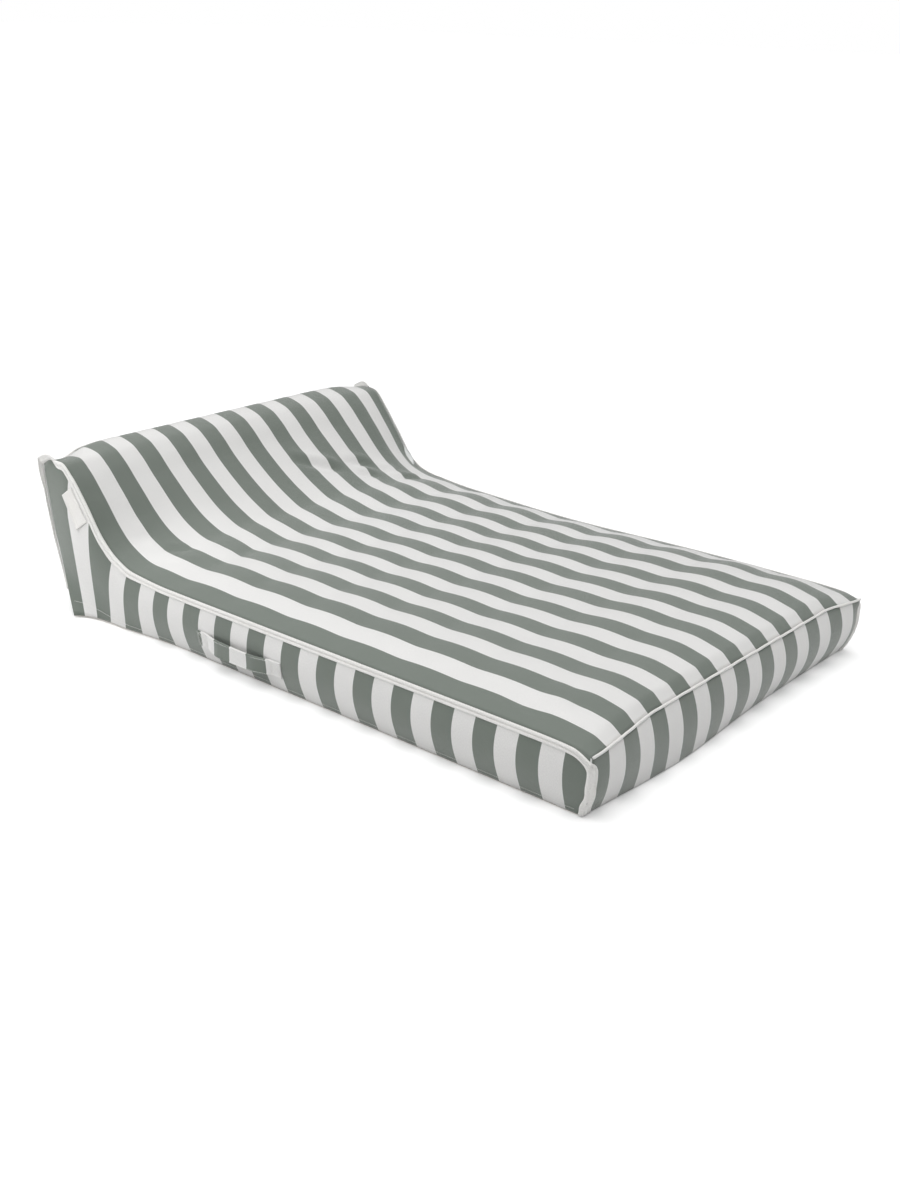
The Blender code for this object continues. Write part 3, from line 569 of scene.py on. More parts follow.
def thread_material(name, colour):
    """Twisted sewing thread."""
    nodes = Nodes(name)
    place = nodes.add("ShaderNodeTexCoord").outputs["Object"]
    twist = nodes.noise(place, 2600.0, 1.0)
    lighter = tuple(min(c * 1.08, 1) for c in colour[:3]) + (1,)
    return nodes.finish({
        "Base Color": nodes.mix(twist, colour, lighter),
        "Roughness": nodes.ramp(twist, 0.5, 0.7),
        "Normal": nodes.bump(twist, 0.0001, 0.5),
    })


def hard_material(name, colour, roughness, metallic=0.0, grain=900.0):
    """Moulded plastic, film or plated metal: faint mottling, fine scratches and uneven gloss."""
    nodes = Nodes(name)
    place = nodes.add("ShaderNodeTexCoord").outputs["Object"]
    cloud = nodes.noise(place, 60.0, 3.0)
    fine = nodes.noise(scaled(nodes, place, (1, 1, 6)), grain, 2.0)
    darker = tuple(c * 0.90 for c in colour[:3]) + (1,)
    return nodes.finish({
        "Base Color": nodes.mix(cloud, darker, colour),
        "Roughness": nodes.ramp(fine, roughness - 0.07, roughness + 0.07),
        "Metallic": metallic,
        "Normal": nodes.bump(fine, 0.00003, 0.5),
    })


STRIPED = striped_cloth("striped_canvas")
TRIM = plain_cloth("white_binding", (0.84, 0.835, 0.82, 1), threads=120)
UNDERSIDE = plain_cloth("cream_underside", (0.74, 0.71, 0.64, 1), threads=70)
THREAD = thread_material("white_thread", (0.83, 0.82, 0.80, 1))
VALVE_PLASTIC = hard_material("moulded_plastic", (0.80, 0.81, 0.79, 1), 0.34)
SOFT_PLASTIC = hard_material("soft_plastic", (0.62, 0.65, 0.64, 1), 0.48)
FILM = hard_material("bladder_film", (0.72, 0.74, 0.73, 1), 0.36, grain=240.0)
ZIP_PLASTIC = hard_material("zip_nylon", (0.80, 0.80, 0.77, 1), 0.42)
ZIP_METAL = hard_material("zip_metal", (0.60, 0.60, 0.58, 1), 0.30, metallic=1.0)
TAPE_CLOTH = plain_cloth("zip_tape_weave", (0.78, 0.77, 0.74, 1), threads=120, by_uv=False)
LABEL_CLOTH = plain_cloth("tag_satin", (0.84, 0.83, 0.81, 1), threads=200, roughness=0.55)


# ---------------------------------------------------------------- cloth simulation

SIMULATED_FRAMES = 14
HOLD_STIFFNESS = 1.0
SEWN_CELLS, SPARE_CELLS = 2, 9      # cells from a seam that it holds, and that are cut loose
BACKED_HOLD = 0.06                  # how firmly air backs the cloth, against 1 at a seam
SPARE_CLOTH = 0.030                 # how much the cloth is asked to be larger than its panel
SETTLE_CAP_M = 0.0032


def coordinates(made):
    """Points of an object's mesh."""
    points = np.empty(len(made.data.vertices) * 3, np.float32)
    made.data.vertices.foreach_get("co", points)
    return points.reshape(-1, 3).astype(float)


def vertex_group(made, name, weights):
    group = made.vertex_groups.new(name=name)
    for i, weight in enumerate(weights):
        group.add([i], float(weight), "REPLACE")


def settle(made, hold, growth, most_growth, cap_m):
    """Runs Blender's cloth on a panel and keeps what it does, up to cap_m.

    hold is 1 where a point is sewn down and small where air only backs it. growth
    says where spare cloth is asked for, as a share of most_growth. As it is set, this
    moves no point by more than 0.2 mm: the folds that show are the surfaces' own.
    """
    rest = coordinates(made)
    vertex_group(made, "hold", hold)
    vertex_group(made, "growth", growth)
    modifier = made.modifiers.new("cloth", "CLOTH")
    cloth = modifier.settings
    cloth.quality = 6
    cloth.mass = 0.2
    cloth.air_damping = 2.0
    cloth.tension_stiffness = cloth.compression_stiffness = 40
    cloth.shear_stiffness = 15
    cloth.bending_stiffness = 6
    cloth.vertex_group_mass = "hold"
    cloth.pin_stiffness = HOLD_STIFFNESS
    cloth.vertex_group_shrink = "growth"
    cloth.shrink_min = 0.0
    cloth.shrink_max = -most_growth
    cloth.effector_weights.gravity = 0
    modifier.collision_settings.use_collision = False
    modifier.point_cache.frame_start = 1
    modifier.point_cache.frame_end = SIMULATED_FRAMES
    scene = bpy.context.scene
    for number in range(1, SIMULATED_FRAMES + 1):
        scene.frame_set(number)
    settled = coordinates(made.evaluated_get(bpy.context.evaluated_depsgraph_get()))
    made.modifiers.remove(modifier)
    made.vertex_groups.clear()
    scene.frame_set(1)
    moved = settled - rest
    size = np.linalg.norm(moved, axis=1, keepdims=True)
    moved *= np.minimum(1, cap_m / np.maximum(size, 1e-9))
    made.data.vertices.foreach_set("co", (rest + moved).astype(np.float32).ravel())
    made.data.update()


def from_edge(shape):
    """How many cells each point of a grid is from the grid's edge."""
    i, j = np.meshgrid(np.arange(shape[0]), np.arange(shape[1]), indexing="ij")
    return np.minimum(np.minimum(i, shape[0] - 1 - i), np.minimum(j, shape[1] - 1 - j))


def sewn_panel(made, points, held=None):
    """Finishes a cover panel: cloth if held is given, and thickness."""
    if held is not None:
        edge = from_edge(points.shape[:2])
        hold = np.maximum(held, np.where(edge < SEWN_CELLS, 1.0, BACKED_HOLD))
        spare = np.clip(1 - (edge - SEWN_CELLS) / SPARE_CELLS, 0.35, 1)
        settle(made, hold.ravel(), spare.ravel(), SPARE_CLOTH, SETTLE_CAP_M)
    thicken(made)


def thicken(made, thickness=CLOTH_M, offset=-1):
    modifier = made.modifiers.new("thickness", "SOLIDIFY")
    modifier.thickness = thickness
    modifier.offset = offset


# ---------------------------------------------------------------- cover panels

CELL = 0.17                         # spacing of the simulated grids, about 9 mm


def stations_along():
    """Y of rows of points a cell apart along the top panel, and their distances along it."""
    y = np.linspace(FOOT, CREST, 2000)
    lengths = arc_lengths(in_metres(0 * y, y, 0.5 * (seam_height(y) + crown_height(y))))
    positions = np.linspace(0, lengths[-1], int(round(lengths[-1] / (CELL * STRIPE))) + 1)
    return np.interp(positions, lengths, y), positions / STRIPE


ALONG, ALONG_ARC = stations_along()
ACROSS = np.linspace(-HALF_WIDTH, HALF_WIDTH, int(round(2 * HALF_WIDTH / CELL)) + 1)


def panel(name, points, uvs, material, flip=False):
    """One sheet on a grid of points."""
    faces = grid_faces(*points.shape[:2], flip)
    return new_object(name, points.reshape(-1, 3), faces, material, uvs.reshape(-1, 2))


def make_top_panel():
    y, x = np.meshgrid(ALONG, ACROSS, indexing="ij")
    points = top_surface(x, y)
    arc = np.broadcast_to(ALONG_ARC[:, None], x.shape)
    uvs = np.stack([x + HALF_WIDTH, arc], -1)
    made = panel("top_panel", points, uvs, STRIPED)
    sewn_panel(made, points, 0 * x)
    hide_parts("cover_top_panel")


# Rows of the side and foot panels, as shares from the seam down to the hem
DOWN = np.concatenate([np.linspace(0, 0.9, 19), [0.925, 0.94, 0.95, 0.96, 0.975, 1.0]])
# How far the side stripes lean towards the back at the headrest's height, by their Y
HEAD_LEAN = smooth_curve([
    (-16, 0), (6.5, 0), (8.5, -0.2), (10.6, -0.2), (11.9, 0.27), (13.3, 0.6), (15.8, 1.6),
])
LEAN_HEIGHT = 4.0
HEM_HELD = 0.82                     # a side or foot panel is held from here down to its hem


def side_stripes(y, v):
    """u and v of the side panels' cloth: upright stripes that lean under the headrest."""
    z = seam_height(y) * (1 - v) + BACK_FOOT[1] * v
    flat_y = y + column_shift(y, v)
    lean = HEAD_LEAN(flat_y) * np.clip(z / LEAN_HEIGHT, 0, 1.15)
    return np.stack([SIDE_STRIPE_START - flat_y + lean + 40, z], -1)


def make_side_panel(side, word):
    v, y = np.meshgrid(DOWN, ALONG, indexing="ij")
    points = side_surface(side, y, v)
    uvs = side_stripes(y, v)
    made = panel(f"side_panel_{word}", points, uvs, STRIPED, flip=side > 0)
    under_strap = (y > HANDLE_START - 0.5) & (y < HANDLE_END + 0.5) & (v > 0.2)
    held = np.where(under_strap | (v > HEM_HELD), 1.0, 0.0)
    flat = ((CREST - FOOT) * STRIPE, crown_height(CREST) * STRIPE)
    sewn_panel(made, points, held)
    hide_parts(f"cover_side_{word}")


def make_foot_panel():
    v, x = np.meshgrid(DOWN, ACROSS, indexing="ij")
    points = foot_surface(x, v)
    uvs = np.stack([x + HALF_WIDTH, points[..., 2] / STRIPE], -1)
    made = panel("foot_panel", points, uvs, STRIPED)
    sewn_panel(made, points, np.where(v > HEM_HELD, 1.0, 0.0))
    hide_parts("cover_foot_panel")


PORT_HOLE_M = 0.0262                # radius of a valve port's opening
MAIN_VALVE_X, HEAD_VALVE_X = 4.5, -4.5
BACK_STATIONS = np.linspace(-HALF_WIDTH, HALF_WIDTH, 123)


def port_pulled(points, centre):
    """Opens a round hole in a grid's points by pushing the nearest ones out to its rim."""
    offset = points - centre
    distance = np.linalg.norm(offset, axis=-1, keepdims=True)
    reach = 3.2 * PORT_HOLE_M
    share = np.clip(distance / reach, 0, 1)
    wanted = PORT_HOLE_M + (reach - PORT_HOLE_M) * share
    pushed = centre + offset / np.maximum(distance, 1e-9) * np.where(distance < reach, wanted, distance)
    return np.where(distance < 1e-6, points, pushed)


def make_back_panel(surface, valve_x, name, rows):
    """A back panel with a round port. Its faces inside the port's rim are left out."""
    f, x = np.meshgrid(np.linspace(0.0, 1.0, rows), BACK_STATIONS, indexing="ij")
    points = surface(x, f)
    centre = surface(np.array([valve_x]), np.array([0.5]))[0]
    pushed = port_pulled(points, centre)
    faces = grid_faces(rows, x.shape[1], flip=True)
    middle = points.reshape(-1, 3)[faces].mean(1)
    faces = faces[np.linalg.norm(middle - centre, axis=1) > 0.3 * PORT_HOLE_M]
    uvs = np.stack([x + HALF_WIDTH, pushed[..., 2] / STRIPE], -1)
    piece = name.replace("cover_", "") + "_panel"
    made = new_object(piece, pushed.reshape(-1, 3), faces, STRIPED, uvs.reshape(-1, 2))
    sewn_panel(made, points)
    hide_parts(name)


def coons(bottom, top, left, right):
    """A grid that spans four border curves. bottom and top run like left's ends do."""
    rows, columns = len(left), len(bottom)
    s = np.linspace(0, 1, columns)[None, :, None]
    t = np.linspace(0, 1, rows)[:, None, None]
    ruled = (1 - t) * bottom[None] + t * top[None] + (1 - s) * left[:, None] + s * right[:, None]
    low_corners = (1 - s) * (1 - t) * bottom[0] + s * (1 - t) * bottom[-1]
    return ruled - (low_corners + (1 - s) * t * top[0] + s * t * top[-1])


HEM_CURL = 0.28                     # width over which the underside rises to the hem
UNDERSIDE_M = 0.0012


def edge_crowded(low, high, count, reach=0.6):
    """Stations from low to high, closer together within reach of both ends."""
    near = np.array([0, 0.08, 0.16, 0.24, 0.34, 0.6]) * reach / 0.6
    inner = np.linspace(low + near[-1], high - near[-1], count)
    return np.concatenate([low + near[:-1], inner, high - near[:-1][::-1]])


def make_underside():
    """The floor panel: flat on the ground, and curled up at its rim to the sides' hems."""
    x, y = edge_crowded(-HALF_WIDTH, HALF_WIDTH, 60), edge_crowded(FOOT, CREST, 80)
    one_x, one_y = np.ones_like(x), np.ones_like(y)
    left, right = side_surface(-1, y, one_y), side_surface(1, y, one_y)
    points = coons(foot_surface(x, one_x), back_lower_surface(x, 0 * one_x), left, right)
    v, u = np.meshgrid(y, x, indexing="ij")
    inside = np.minimum(HALF_WIDTH - np.abs(u), np.minimum(v - FOOT, CREST - v))
    height = points[..., 2] - UNDERSIDE_M
    rise = np.clip(1 - inside / HEM_CURL, 0, 1) ** 2
    points[..., 2] = height * rise + 0.0002
    uvs = np.stack([u, v], -1)
    made = panel("underside_panel", points, uvs, UNDERSIDE)
    thicken(made, UNDERSIDE_M, offset=1)
    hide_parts("cover_bottom_panel")


def make_cover():
    make_top_panel()
    for side, word in ((-1, "left"), (1, "right")):
        make_side_panel(side, word)
    make_foot_panel()
    make_back_panel(back_lower_surface, MAIN_VALVE_X, "cover_back_lower", 19)
    make_back_panel(back_upper_surface, HEAD_VALVE_X, "cover_back_upper", 23)
    make_underside()


# ---------------------------------------------------------------- bindings and piping

BAND_WIDTH = 0.24                   # of the binding that hangs over a side panel
UPRIGHT_SIDE, UPRIGHT_END = 0.14, 0.34      # its widths on the two faces of a foot corner
BAND_COLUMNS = 26
BAND_HEAD_END = 14.62               # Y where the binding turns into the head corner's ear
INNER_TURN, OUTER_TURN = 0.42, 0.75         # radii of the binding's turn at a foot corner
STITCH_COLUMN = 10                  # the grid's column that the binding's stitches follow


def bulge(t, middle, half):
    """A half-round ridge across a binding."""
    return np.sqrt(np.clip(1 - ((t - middle) / half) ** 2, 0, 1))


def band_section(t, upright):
    """Height of the binding over the panel, in metres: upright 0 along a seam, 1 at a corner."""
    along_seam = 0.0011 + 0.0032 * bulge(t, 0.25, 0.24) + 0.0022 * bulge(t, 0.78, 0.22)
    ridges = bulge(t, 0.14, 0.14) + bulge(t, 0.48, 0.15) + bulge(t, 0.84, 0.16)
    at_corner = 0.0012 + 0.0026 * ridges
    return along_seam * (1 - upright) + at_corner * upright


def near_corner(side, a, b):
    """Points near a foot corner: a along the side seam from the corner (negative on the
    foot panel) and b straight down from the seam, both in stripes."""
    y = FOOT + np.maximum(a, 0)
    top = seam_height(y) + slump(side * HALF_WIDTH, y)
    v = np.clip(b / (top - BACK_FOOT[1]), -0.02, 1)
    on_side = side_surface(side, y, v)
    on_foot = foot_surface(side * (HALF_WIDTH + np.minimum(a, 0.0)), v)
    return np.where((a >= 0)[..., None], on_side, on_foot)


def band_rows():
    """(outer a, outer b, inner a, inner b, upright) of each row of the binding's grid."""
    rows = []
    start = BAND_HEAD_END - FOOT
    for a in np.concatenate([np.linspace(start, start - 1.2, 12), np.linspace(start - 1.3, 1.3, 230)]):
        slope = (seam_height(FOOT + a + 0.05) - seam_height(FOOT + a - 0.05)) / 0.1
        width = BAND_WIDTH * (1 + 0.35 * smooth_step((FOOT + a - 8) / 3))
        drop = width * math.hypot(1, slope) * smooth_step((start - a) / 0.5 + 0.12)
        rows.append((a, -0.02, a, drop, 0.0))
    corner_a, corner_b = UPRIGHT_SIDE + INNER_TURN, BAND_WIDTH + INNER_TURN
    for angle in np.linspace(0, math.pi / 2, 22)[1:-1]:
        s, c = math.sin(angle), math.cos(angle)
        outer_a = corner_a - (corner_a + UPRIGHT_END) * s ** 0.9 + OUTER_TURN * (1 - s) ** 1.6
        outer_b = corner_b - (corner_b + 0.02) * c ** 0.9
        inner_a = corner_a - INNER_TURN * s + OUTER_TURN * (1 - s) ** 1.6
        rows.append((outer_a, outer_b, inner_a, corner_b - INNER_TURN * c, smooth_step(angle / 1.5)))
    for b in np.linspace(corner_b, seam_height(FOOT) - 0.08, 26):
        wave = 0.03 * math.sin(b * 7.0) * (b - corner_b)
        wider = 1 + 0.12 * smooth_step((b - 1.5) / 0.8)
        rows.append((-UPRIGHT_END * wider + wave, b, UPRIGHT_SIDE * wider + wave, b, 1.0))
    return np.array(rows)


def ribbon(name, base, heights, material, clear=0.0003):
    """A closed strip on a grid of base points, standing heights over them."""
    normal = grid_normals(base)
    outward = np.sign((normal * (base - base.mean((0, 1)) * [0, 1, 1])).sum(-1).mean())
    normal = normal * outward
    upper = base + normal * heights[..., None]
    lower = base + normal * clear
    rings = np.concatenate([upper, lower[:, ::-1]], axis=1)
    arcs = arc_lengths(base[:, 0]) / STRIPE
    across = np.linalg.norm(base - base[:, :1], axis=-1) / STRIPE
    uv_upper = np.stack([across, np.broadcast_to(arcs[:, None], across.shape)], -1)
    uvs = np.concatenate([uv_upper, uv_upper[:, ::-1]], axis=1).reshape(-1, 2)
    return loft(name, rings, material, uvs), upper, normal


def make_side_binding(side, word):
    rows = band_rows()
    t = np.linspace(0, 1, BAND_COLUMNS)
    a = rows[:, 0:1] * (1 - t) + rows[:, 2:3] * t
    b = rows[:, 1:2] * (1 - t) + rows[:, 3:4] * t
    base = near_corner(side, a, b)
    heights = band_section(t[None, :], rows[:, 4:5])
    base[..., 0] += side * 0.0002
    made, upper, normal = ribbon(f"side_binding_{word}", base, heights, TRIM)
    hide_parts(f"seam_band_{word}", f"corner_band_foot_{word}")
    stitched = [(upper[6:-14, STITCH_COLUMN], normal[6:-14, STITCH_COLUMN])]
    thread = stitch_rows(f"binding_stitches_{word}", stitched, THREAD, 0.0042, 0.0060, slant=0.45)


UPRIGHT_ROWS, EAR_ROWS = 44, 20     # rings of a head corner's allowance, and of its ear


def make_head_corner(side, word):
    """The seam allowance left standing along a back corner, curled over into an ear on top."""
    root, out, width = [], [], []
    for v in np.linspace(0.86, 0.0, UPRIGHT_ROWS):
        root.append(side_surface(side, np.array([CREST]), np.array([v]))[0])
        lean = smooth_step((0.25 - v) / 0.25)
        out.append(np.array([side * (0.72 - 0.25 * lean), 0.62 - 0.1 * lean, 0.1 + 0.75 * lean]))
        width.append(0.05 + 0.11 * smooth_step((0.9 - v) / 0.7) + 0.20 * smooth_step((0.20 - v) / 0.16))
    for k in range(1, EAR_ROWS + 1):
        share = k / EAR_ROWS
        y = CREST - share * (CREST - BAND_HEAD_END + 0.25)
        root.append(side_surface(side, np.array([y]), np.array([0.0]))[0])
        out.append(np.array([side * 0.42, 0.30 - 0.45 * share, 0.85]))
        width.append(0.31 * (1 - share ** 2.2) + 0.05)
    root, out, width = np.array(root), np.array(out), np.array(width)
    out /= np.linalg.norm(out, axis=1, keepdims=True)
    along = np.gradient(root, axis=0)
    along /= np.linalg.norm(along, axis=1, keepdims=True)
    across = np.cross(along, out)
    across /= np.linalg.norm(across, axis=1, keepdims=True)
    rings = []
    flat, rim = 0.0011, 0.0024
    for r, o, w, c in zip(root, out, width * STRIPE, across):
        profile = [(-0.002, -flat)]
        profile += [(w * s, -flat) for s in (0.3, 0.6)]
        for angle in np.linspace(-2.5, 2.5, 9):
            profile.append((w - rim + rim * math.cos(angle), rim * math.sin(angle)))
        profile += [(w * s, flat) for s in (0.6, 0.3)] + [(-0.002, flat)]
        rings.append([r + o * d + c * h for d, h in profile])
    made = loft(f"head_corner_flange_{word}", rings, TRIM)
    box_uvs(made)
    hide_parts(f"corner_band_head_{word}")


def box_uvs(made):
    """Cloth coordinates for a small piece, straight from its points."""
    x, y, z = (coordinates(made) / STRIPE).T
    set_uvs(made.data, np.stack([x + y, z + 0.3 * y], -1))


PIPING_M = 0.0030
PIPING_STEP = 0.10


def make_piping(name, y, outwards, node, reach):
    """A cord sewn into an end seam, from reach stripes inside one corner to the other."""
    x = np.linspace(-HALF_WIDTH + reach, HALF_WIDTH - reach, int(2 * HALF_WIDTH / PIPING_STEP))
    seam = top_surface(x, y * np.ones_like(x))
    outwards = np.array(outwards) / np.linalg.norm(outwards)
    wobble = 0.0004 * np.sin(x * 2.7) + 0.0003 * np.sin(x * 6.1 + 1)
    path = seam + outwards * (PIPING_M * 0.75) + np.array([0, 0, 1.0]) * wobble[:, None]
    made = tube(name, path, PIPING_M, TRIM, sides=16)
    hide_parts(node)


def make_bindings():
    for side, word in ((-1, "left"), (1, "right")):
        make_side_binding(side, word)
        make_head_corner(side, word)
    make_piping("foot_piping", FOOT, (0, -0.8, 0.6), "piping_foot", 0.04)
    make_piping("crest_piping", CREST, (0, 0.8, 0.45), "piping_crest", 0.2)


HEM_STITCH_V = 0.925


def make_hem_stitches():
    """Rows of stitches along the hems."""
    y = np.linspace(FOOT + 0.4, CREST - 0.4, 400)
    v = HEM_STITCH_V * np.ones_like(y)
    rows = [(side_surface(side, y, v), (side, 0, -0.2)) for side in (-1, 1)]
    x = np.linspace(-HALF_WIDTH + 0.4, HALF_WIDTH - 0.4, 260)
    rows.append((foot_surface(x, HEM_STITCH_V * np.ones_like(x)), (0, -1, -0.2)))
    made = stitch_rows("hem_stitches", rows, THREAD, 0.0034, 0.0046)


# ---------------------------------------------------------------- straps and label

HANDLE_START, HANDLE_END = -0.32, 4.68
HANDLE_LOW, HANDLE_HIGH = 0.78, 1.53
HANDLE_SEWN, HANDLE_RISE = 0.6, 0.9
HANDLE_BOW_M, HANDLE_THICK_M = 0.011, 0.0025
HANDLE_STRIPE_SHIFT = -0.22         # the strap's stripes miss the panel's by this much
HANDLE_HEIGHT, HANDLE_LENGTH = HANDLE_HIGH - HANDLE_LOW, HANDLE_END - HANDLE_START


def side_face(side, y, z):
    """X in metres of a side panel's outer face at that Y and height."""
    top_y = np.minimum(y, CREST)
    for _ in range(6):
        v = np.clip(1 - z / seam_height(top_y), 0, 1)
        top_y = np.clip(y - column_shift(top_y, v), FOOT, CREST)
    return side * (HALF_WIDTH + side_swell(top_y, v) + FLARE_OUT * flare(CREST - top_y, z)) * STRIPE


def handle_face(side, y, z):
    """Inner face of a carry strap, in metres from the middle."""
    low, high = (np.abs(side_face(side, y, h * np.ones_like(y))) for h in (HANDLE_LOW, HANDLE_HIGH))
    crest = np.maximum(np.maximum(low, high), np.abs(side_face(side, y, 1.2 * np.ones_like(y))))
    on_panel = low + (high - low) * (z - HANDLE_LOW) / (HANDLE_HIGH - HANDLE_LOW) + 0.0014
    from_end = np.minimum(y - HANDLE_START, HANDLE_END - y)
    lift = ease_out(from_end - HANDLE_SEWN, HANDLE_RISE, 1.6)
    return side * (on_panel + lift * (crest - on_panel + HANDLE_BOW_M))


def rounded_section(columns, thickness, rim=0.0008):
    """Shares across a strap and its outer face's heights there, with thicker turned edges."""
    t = np.linspace(0, 1, columns)
    edge = np.minimum(t, 1 - t)
    pad = rim * smooth_step((0.16 - edge) / 0.05) * np.sqrt(np.clip(edge / 0.02, 0, 1))
    height = thickness * np.sqrt(np.clip(edge / 0.03, 0.02, 1)) + pad
    return t, height


def handle_sag(y):
    """How far a strap hangs below its ends."""
    return 0.05 * np.sin(np.pi * (y - HANDLE_START) / HANDLE_LENGTH)


def make_handle(side, word):
    y = np.linspace(HANDLE_START, HANDLE_END, 110)
    t, height = rounded_section(25, HANDLE_THICK_M)
    z = (HANDLE_LOW + HANDLE_HEIGHT * t)[None, :] - handle_sag(y)[:, None]
    yy = np.broadcast_to(y[:, None], z.shape)
    twist = 0.0010 * np.sin(yy * 1.9 + z * 3)
    free = smooth_step(np.minimum(yy - HANDLE_START, HANDLE_END - yy) - HANDLE_SEWN)
    inner = handle_face(side, yy, z) + side * twist * free
    base = np.stack([inner, yy * STRIPE, z * STRIPE], -1)
    outer = base + np.array([side, 0, 0]) * height[None, :, None]
    rings = np.concatenate([outer, base[:, ::-1]], axis=1)
    u = SIDE_STRIPE_START - yy + HANDLE_STRIPE_SHIFT + 40
    face_uvs = np.stack([u, z], -1)
    uvs = np.concatenate([face_uvs, face_uvs[:, ::-1]], axis=1)
    made = loft(f"carry_strap_{word}", rings, STRIPED, uvs.reshape(-1, 2))
    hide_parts(f"handle_{word}")
    along, out = y[2:-2], (side, 0, 0)
    rows = [(strap_outer(side, along, t * np.ones_like(along)), out) for t in (0.09, 0.91)]
    for start, end in ((HANDLE_START + 0.08, HANDLE_START + 0.55), (HANDLE_END - 0.55, HANDLE_END - 0.08)):
        corners = [(start, 0.12), (start, 0.88), (end, 0.88), (end, 0.12), (start, 0.12), (end, 0.88)]
        corners += [(end, 0.12), (start, 0.88)]
        for (a0, b0), (a1, b1) in zip(corners, corners[1:]):
            s = np.linspace(0, 1, 12)
            rows.append((strap_outer(side, a0 + (a1 - a0) * s, b0 + (b1 - b0) * s), out))
    thread = stitch_rows(f"strap_stitches_{word}", rows, THREAD, 0.0030, 0.0042)


def strap_outer(side, y, t):
    """Points of a strap's outer face at Y and share t of its height."""
    z = HANDLE_LOW + HANDLE_HEIGHT * t - handle_sag(y)
    inner = handle_face(side, y, z)
    height = HANDLE_THICK_M + 0.0004
    return np.stack([inner + side * height, y * STRIPE, z * STRIPE], -1)


LABEL_TOP, LABEL_LENGTH_M, LABEL_WIDTH_M = 12.92, 0.096, 0.040
LABEL_DEPTH_M = 0.0185


def make_label():
    """A blank folded tag that hangs from the binding on the headrest's slope."""
    start = np.array([0, LABEL_TOP, seam_height(LABEL_TOP)])
    end = np.array([0, 12.0, seam_height(12.0)])
    along = (end - start) / np.linalg.norm(end - start)
    down = np.array([0, -along[2], along[1]])
    s, t = np.meshgrid(np.linspace(0, 1, 34), np.linspace(0, 1, 18), indexing="ij")
    points = start * STRIPE + down * LABEL_DEPTH_M + along * LABEL_LENGTH_M * s[..., None]
    points = points + down * LABEL_WIDTH_M * t[..., None]
    face = side_face(-1, points[..., 1] / STRIPE, points[..., 2] / STRIPE)
    curl = 0.0010 + 0.0022 * smooth_step((s - 0.80) / 0.2) * t + 0.0012 * smooth_step((t - 0.75) / 0.25)
    points[..., 0] = face - curl
    fold = 0.0009 + 0.0011 * smooth_step((t - 0.80) / 0.18) * np.sqrt(np.clip((1 - t) / 0.05, 0, 1))
    outer = points - np.array([1, 0, 0]) * fold[..., None]
    rings = np.concatenate([outer, points[:, ::-1]], axis=1)
    made = loft("blank_tag", rings, LABEL_CLOTH)
    box_uvs(made)
    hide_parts("side_label")
    rows = [(outer[1:-1, column], (-1, 0, 0)) for column in (2, 14)]
    rows += [(outer[row, 2:15], (-1, 0, 0)) for row in (2, -3)]
    thread = stitch_rows("tag_stitches", rows, THREAD, 0.0022, 0.0031)


# ---------------------------------------------------------------- the zip

ZIP_FULL_M = HALF_WIDTH * STRIPE - 0.006
ZIP_HALF_M = 0.50                   # half the length of the toothed part
COIL_INNER_M, COIL_OUTER_M = 0.0006, 0.0029
COIL_PITCH_M, COIL_WIRE_M = 0.0024, 0.00036
SLIDER_X_M = -0.485
PIN_OUT_M = 0.0039                  # height of the slider's pin over the panel


def back_frame(origin, up):
    """A frame on the back's outer face as seen from behind: x to the right (-X), y up, z out."""
    right, up = Vector((-1, 0, 0)), Vector(up)
    turn = Matrix((right, up, right.cross(up))).transposed().to_4x4()
    return Matrix.Translation(origin) @ turn


ZIP_PLACE = back_frame(Vector((0, *ZIP_LINE)) * STRIPE, ZIP_UP)


def moved_to(place, points):
    """Points of a local frame, moved to the place that a matrix gives it."""
    turn = np.array(place)
    return points @ turn[:3, :3].T + turn[:3, 3]


def rounded(made, width, segments=3):
    """Rounds a hard piece's edges."""
    modifier = made.modifiers.new("rounding", "BEVEL")
    modifier.width = width
    modifier.segments = segments
    modifier.limit_method = "ANGLE"
    modifier.angle_limit = math.radians(35)
    return made


def built(name, parts, place, material, body="float", node=None, round_m=0.0003):
    """One piece out of boxes and turned bodies drawn in a local frame, set in its place.

    A box is (low, high); a turned body is (profile, segments, its own matrix).
    """
    bm = bmesh.new()
    for part in parts:
        if len(part) == 2:
            low, high = Vector(part[0]), Vector(part[1])
            size = Matrix.Diagonal((*(high - low), 1))
            bmesh.ops.create_cube(bm, size=1, matrix=Matrix.Translation((low + high) / 2) @ size)
        else:
            add_turned(bm, *part)
    bmesh.ops.recalc_face_normals(bm, faces=bm.faces)
    bm.transform(place)
    mesh = bpy.data.meshes.new(name)
    bm.to_mesh(mesh)
    bm.free()
    made = linked(name, mesh)
    mesh.materials.append(material)
    mesh.shade_smooth()
    mesh.set_sharp_from_angle(angle=math.radians(35))
    if round_m:
        rounded(made, round_m)
    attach(made, body)
    if node:
        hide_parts(node)
    return made


def add_turned(bm, profile, segments, matrix):
    """Adds a body turned about Z from a closed outline of (radius, height) points."""
    angles = np.linspace(0, 2 * math.pi, segments, endpoint=False)
    rings = []
    for radius, height in profile:
        turns = angles if radius > 0 else angles[:1]
        points = [(radius * math.cos(a), radius * math.sin(a), height) for a in turns]
        rings.append([bm.verts.new(matrix @ Vector(p)) for p in points])
    for ring, after in zip(rings, rings[1:] + rings[:1]):
        if len(ring) == len(after) == 1:
            continue
        for k in range(segments):
            corners = [ring[k % len(ring)], ring[(k + 1) % len(ring)]]
            corners += [after[(k + 1) % len(after)], after[k % len(after)]]
            bm.faces.new(list(dict.fromkeys(corners)))


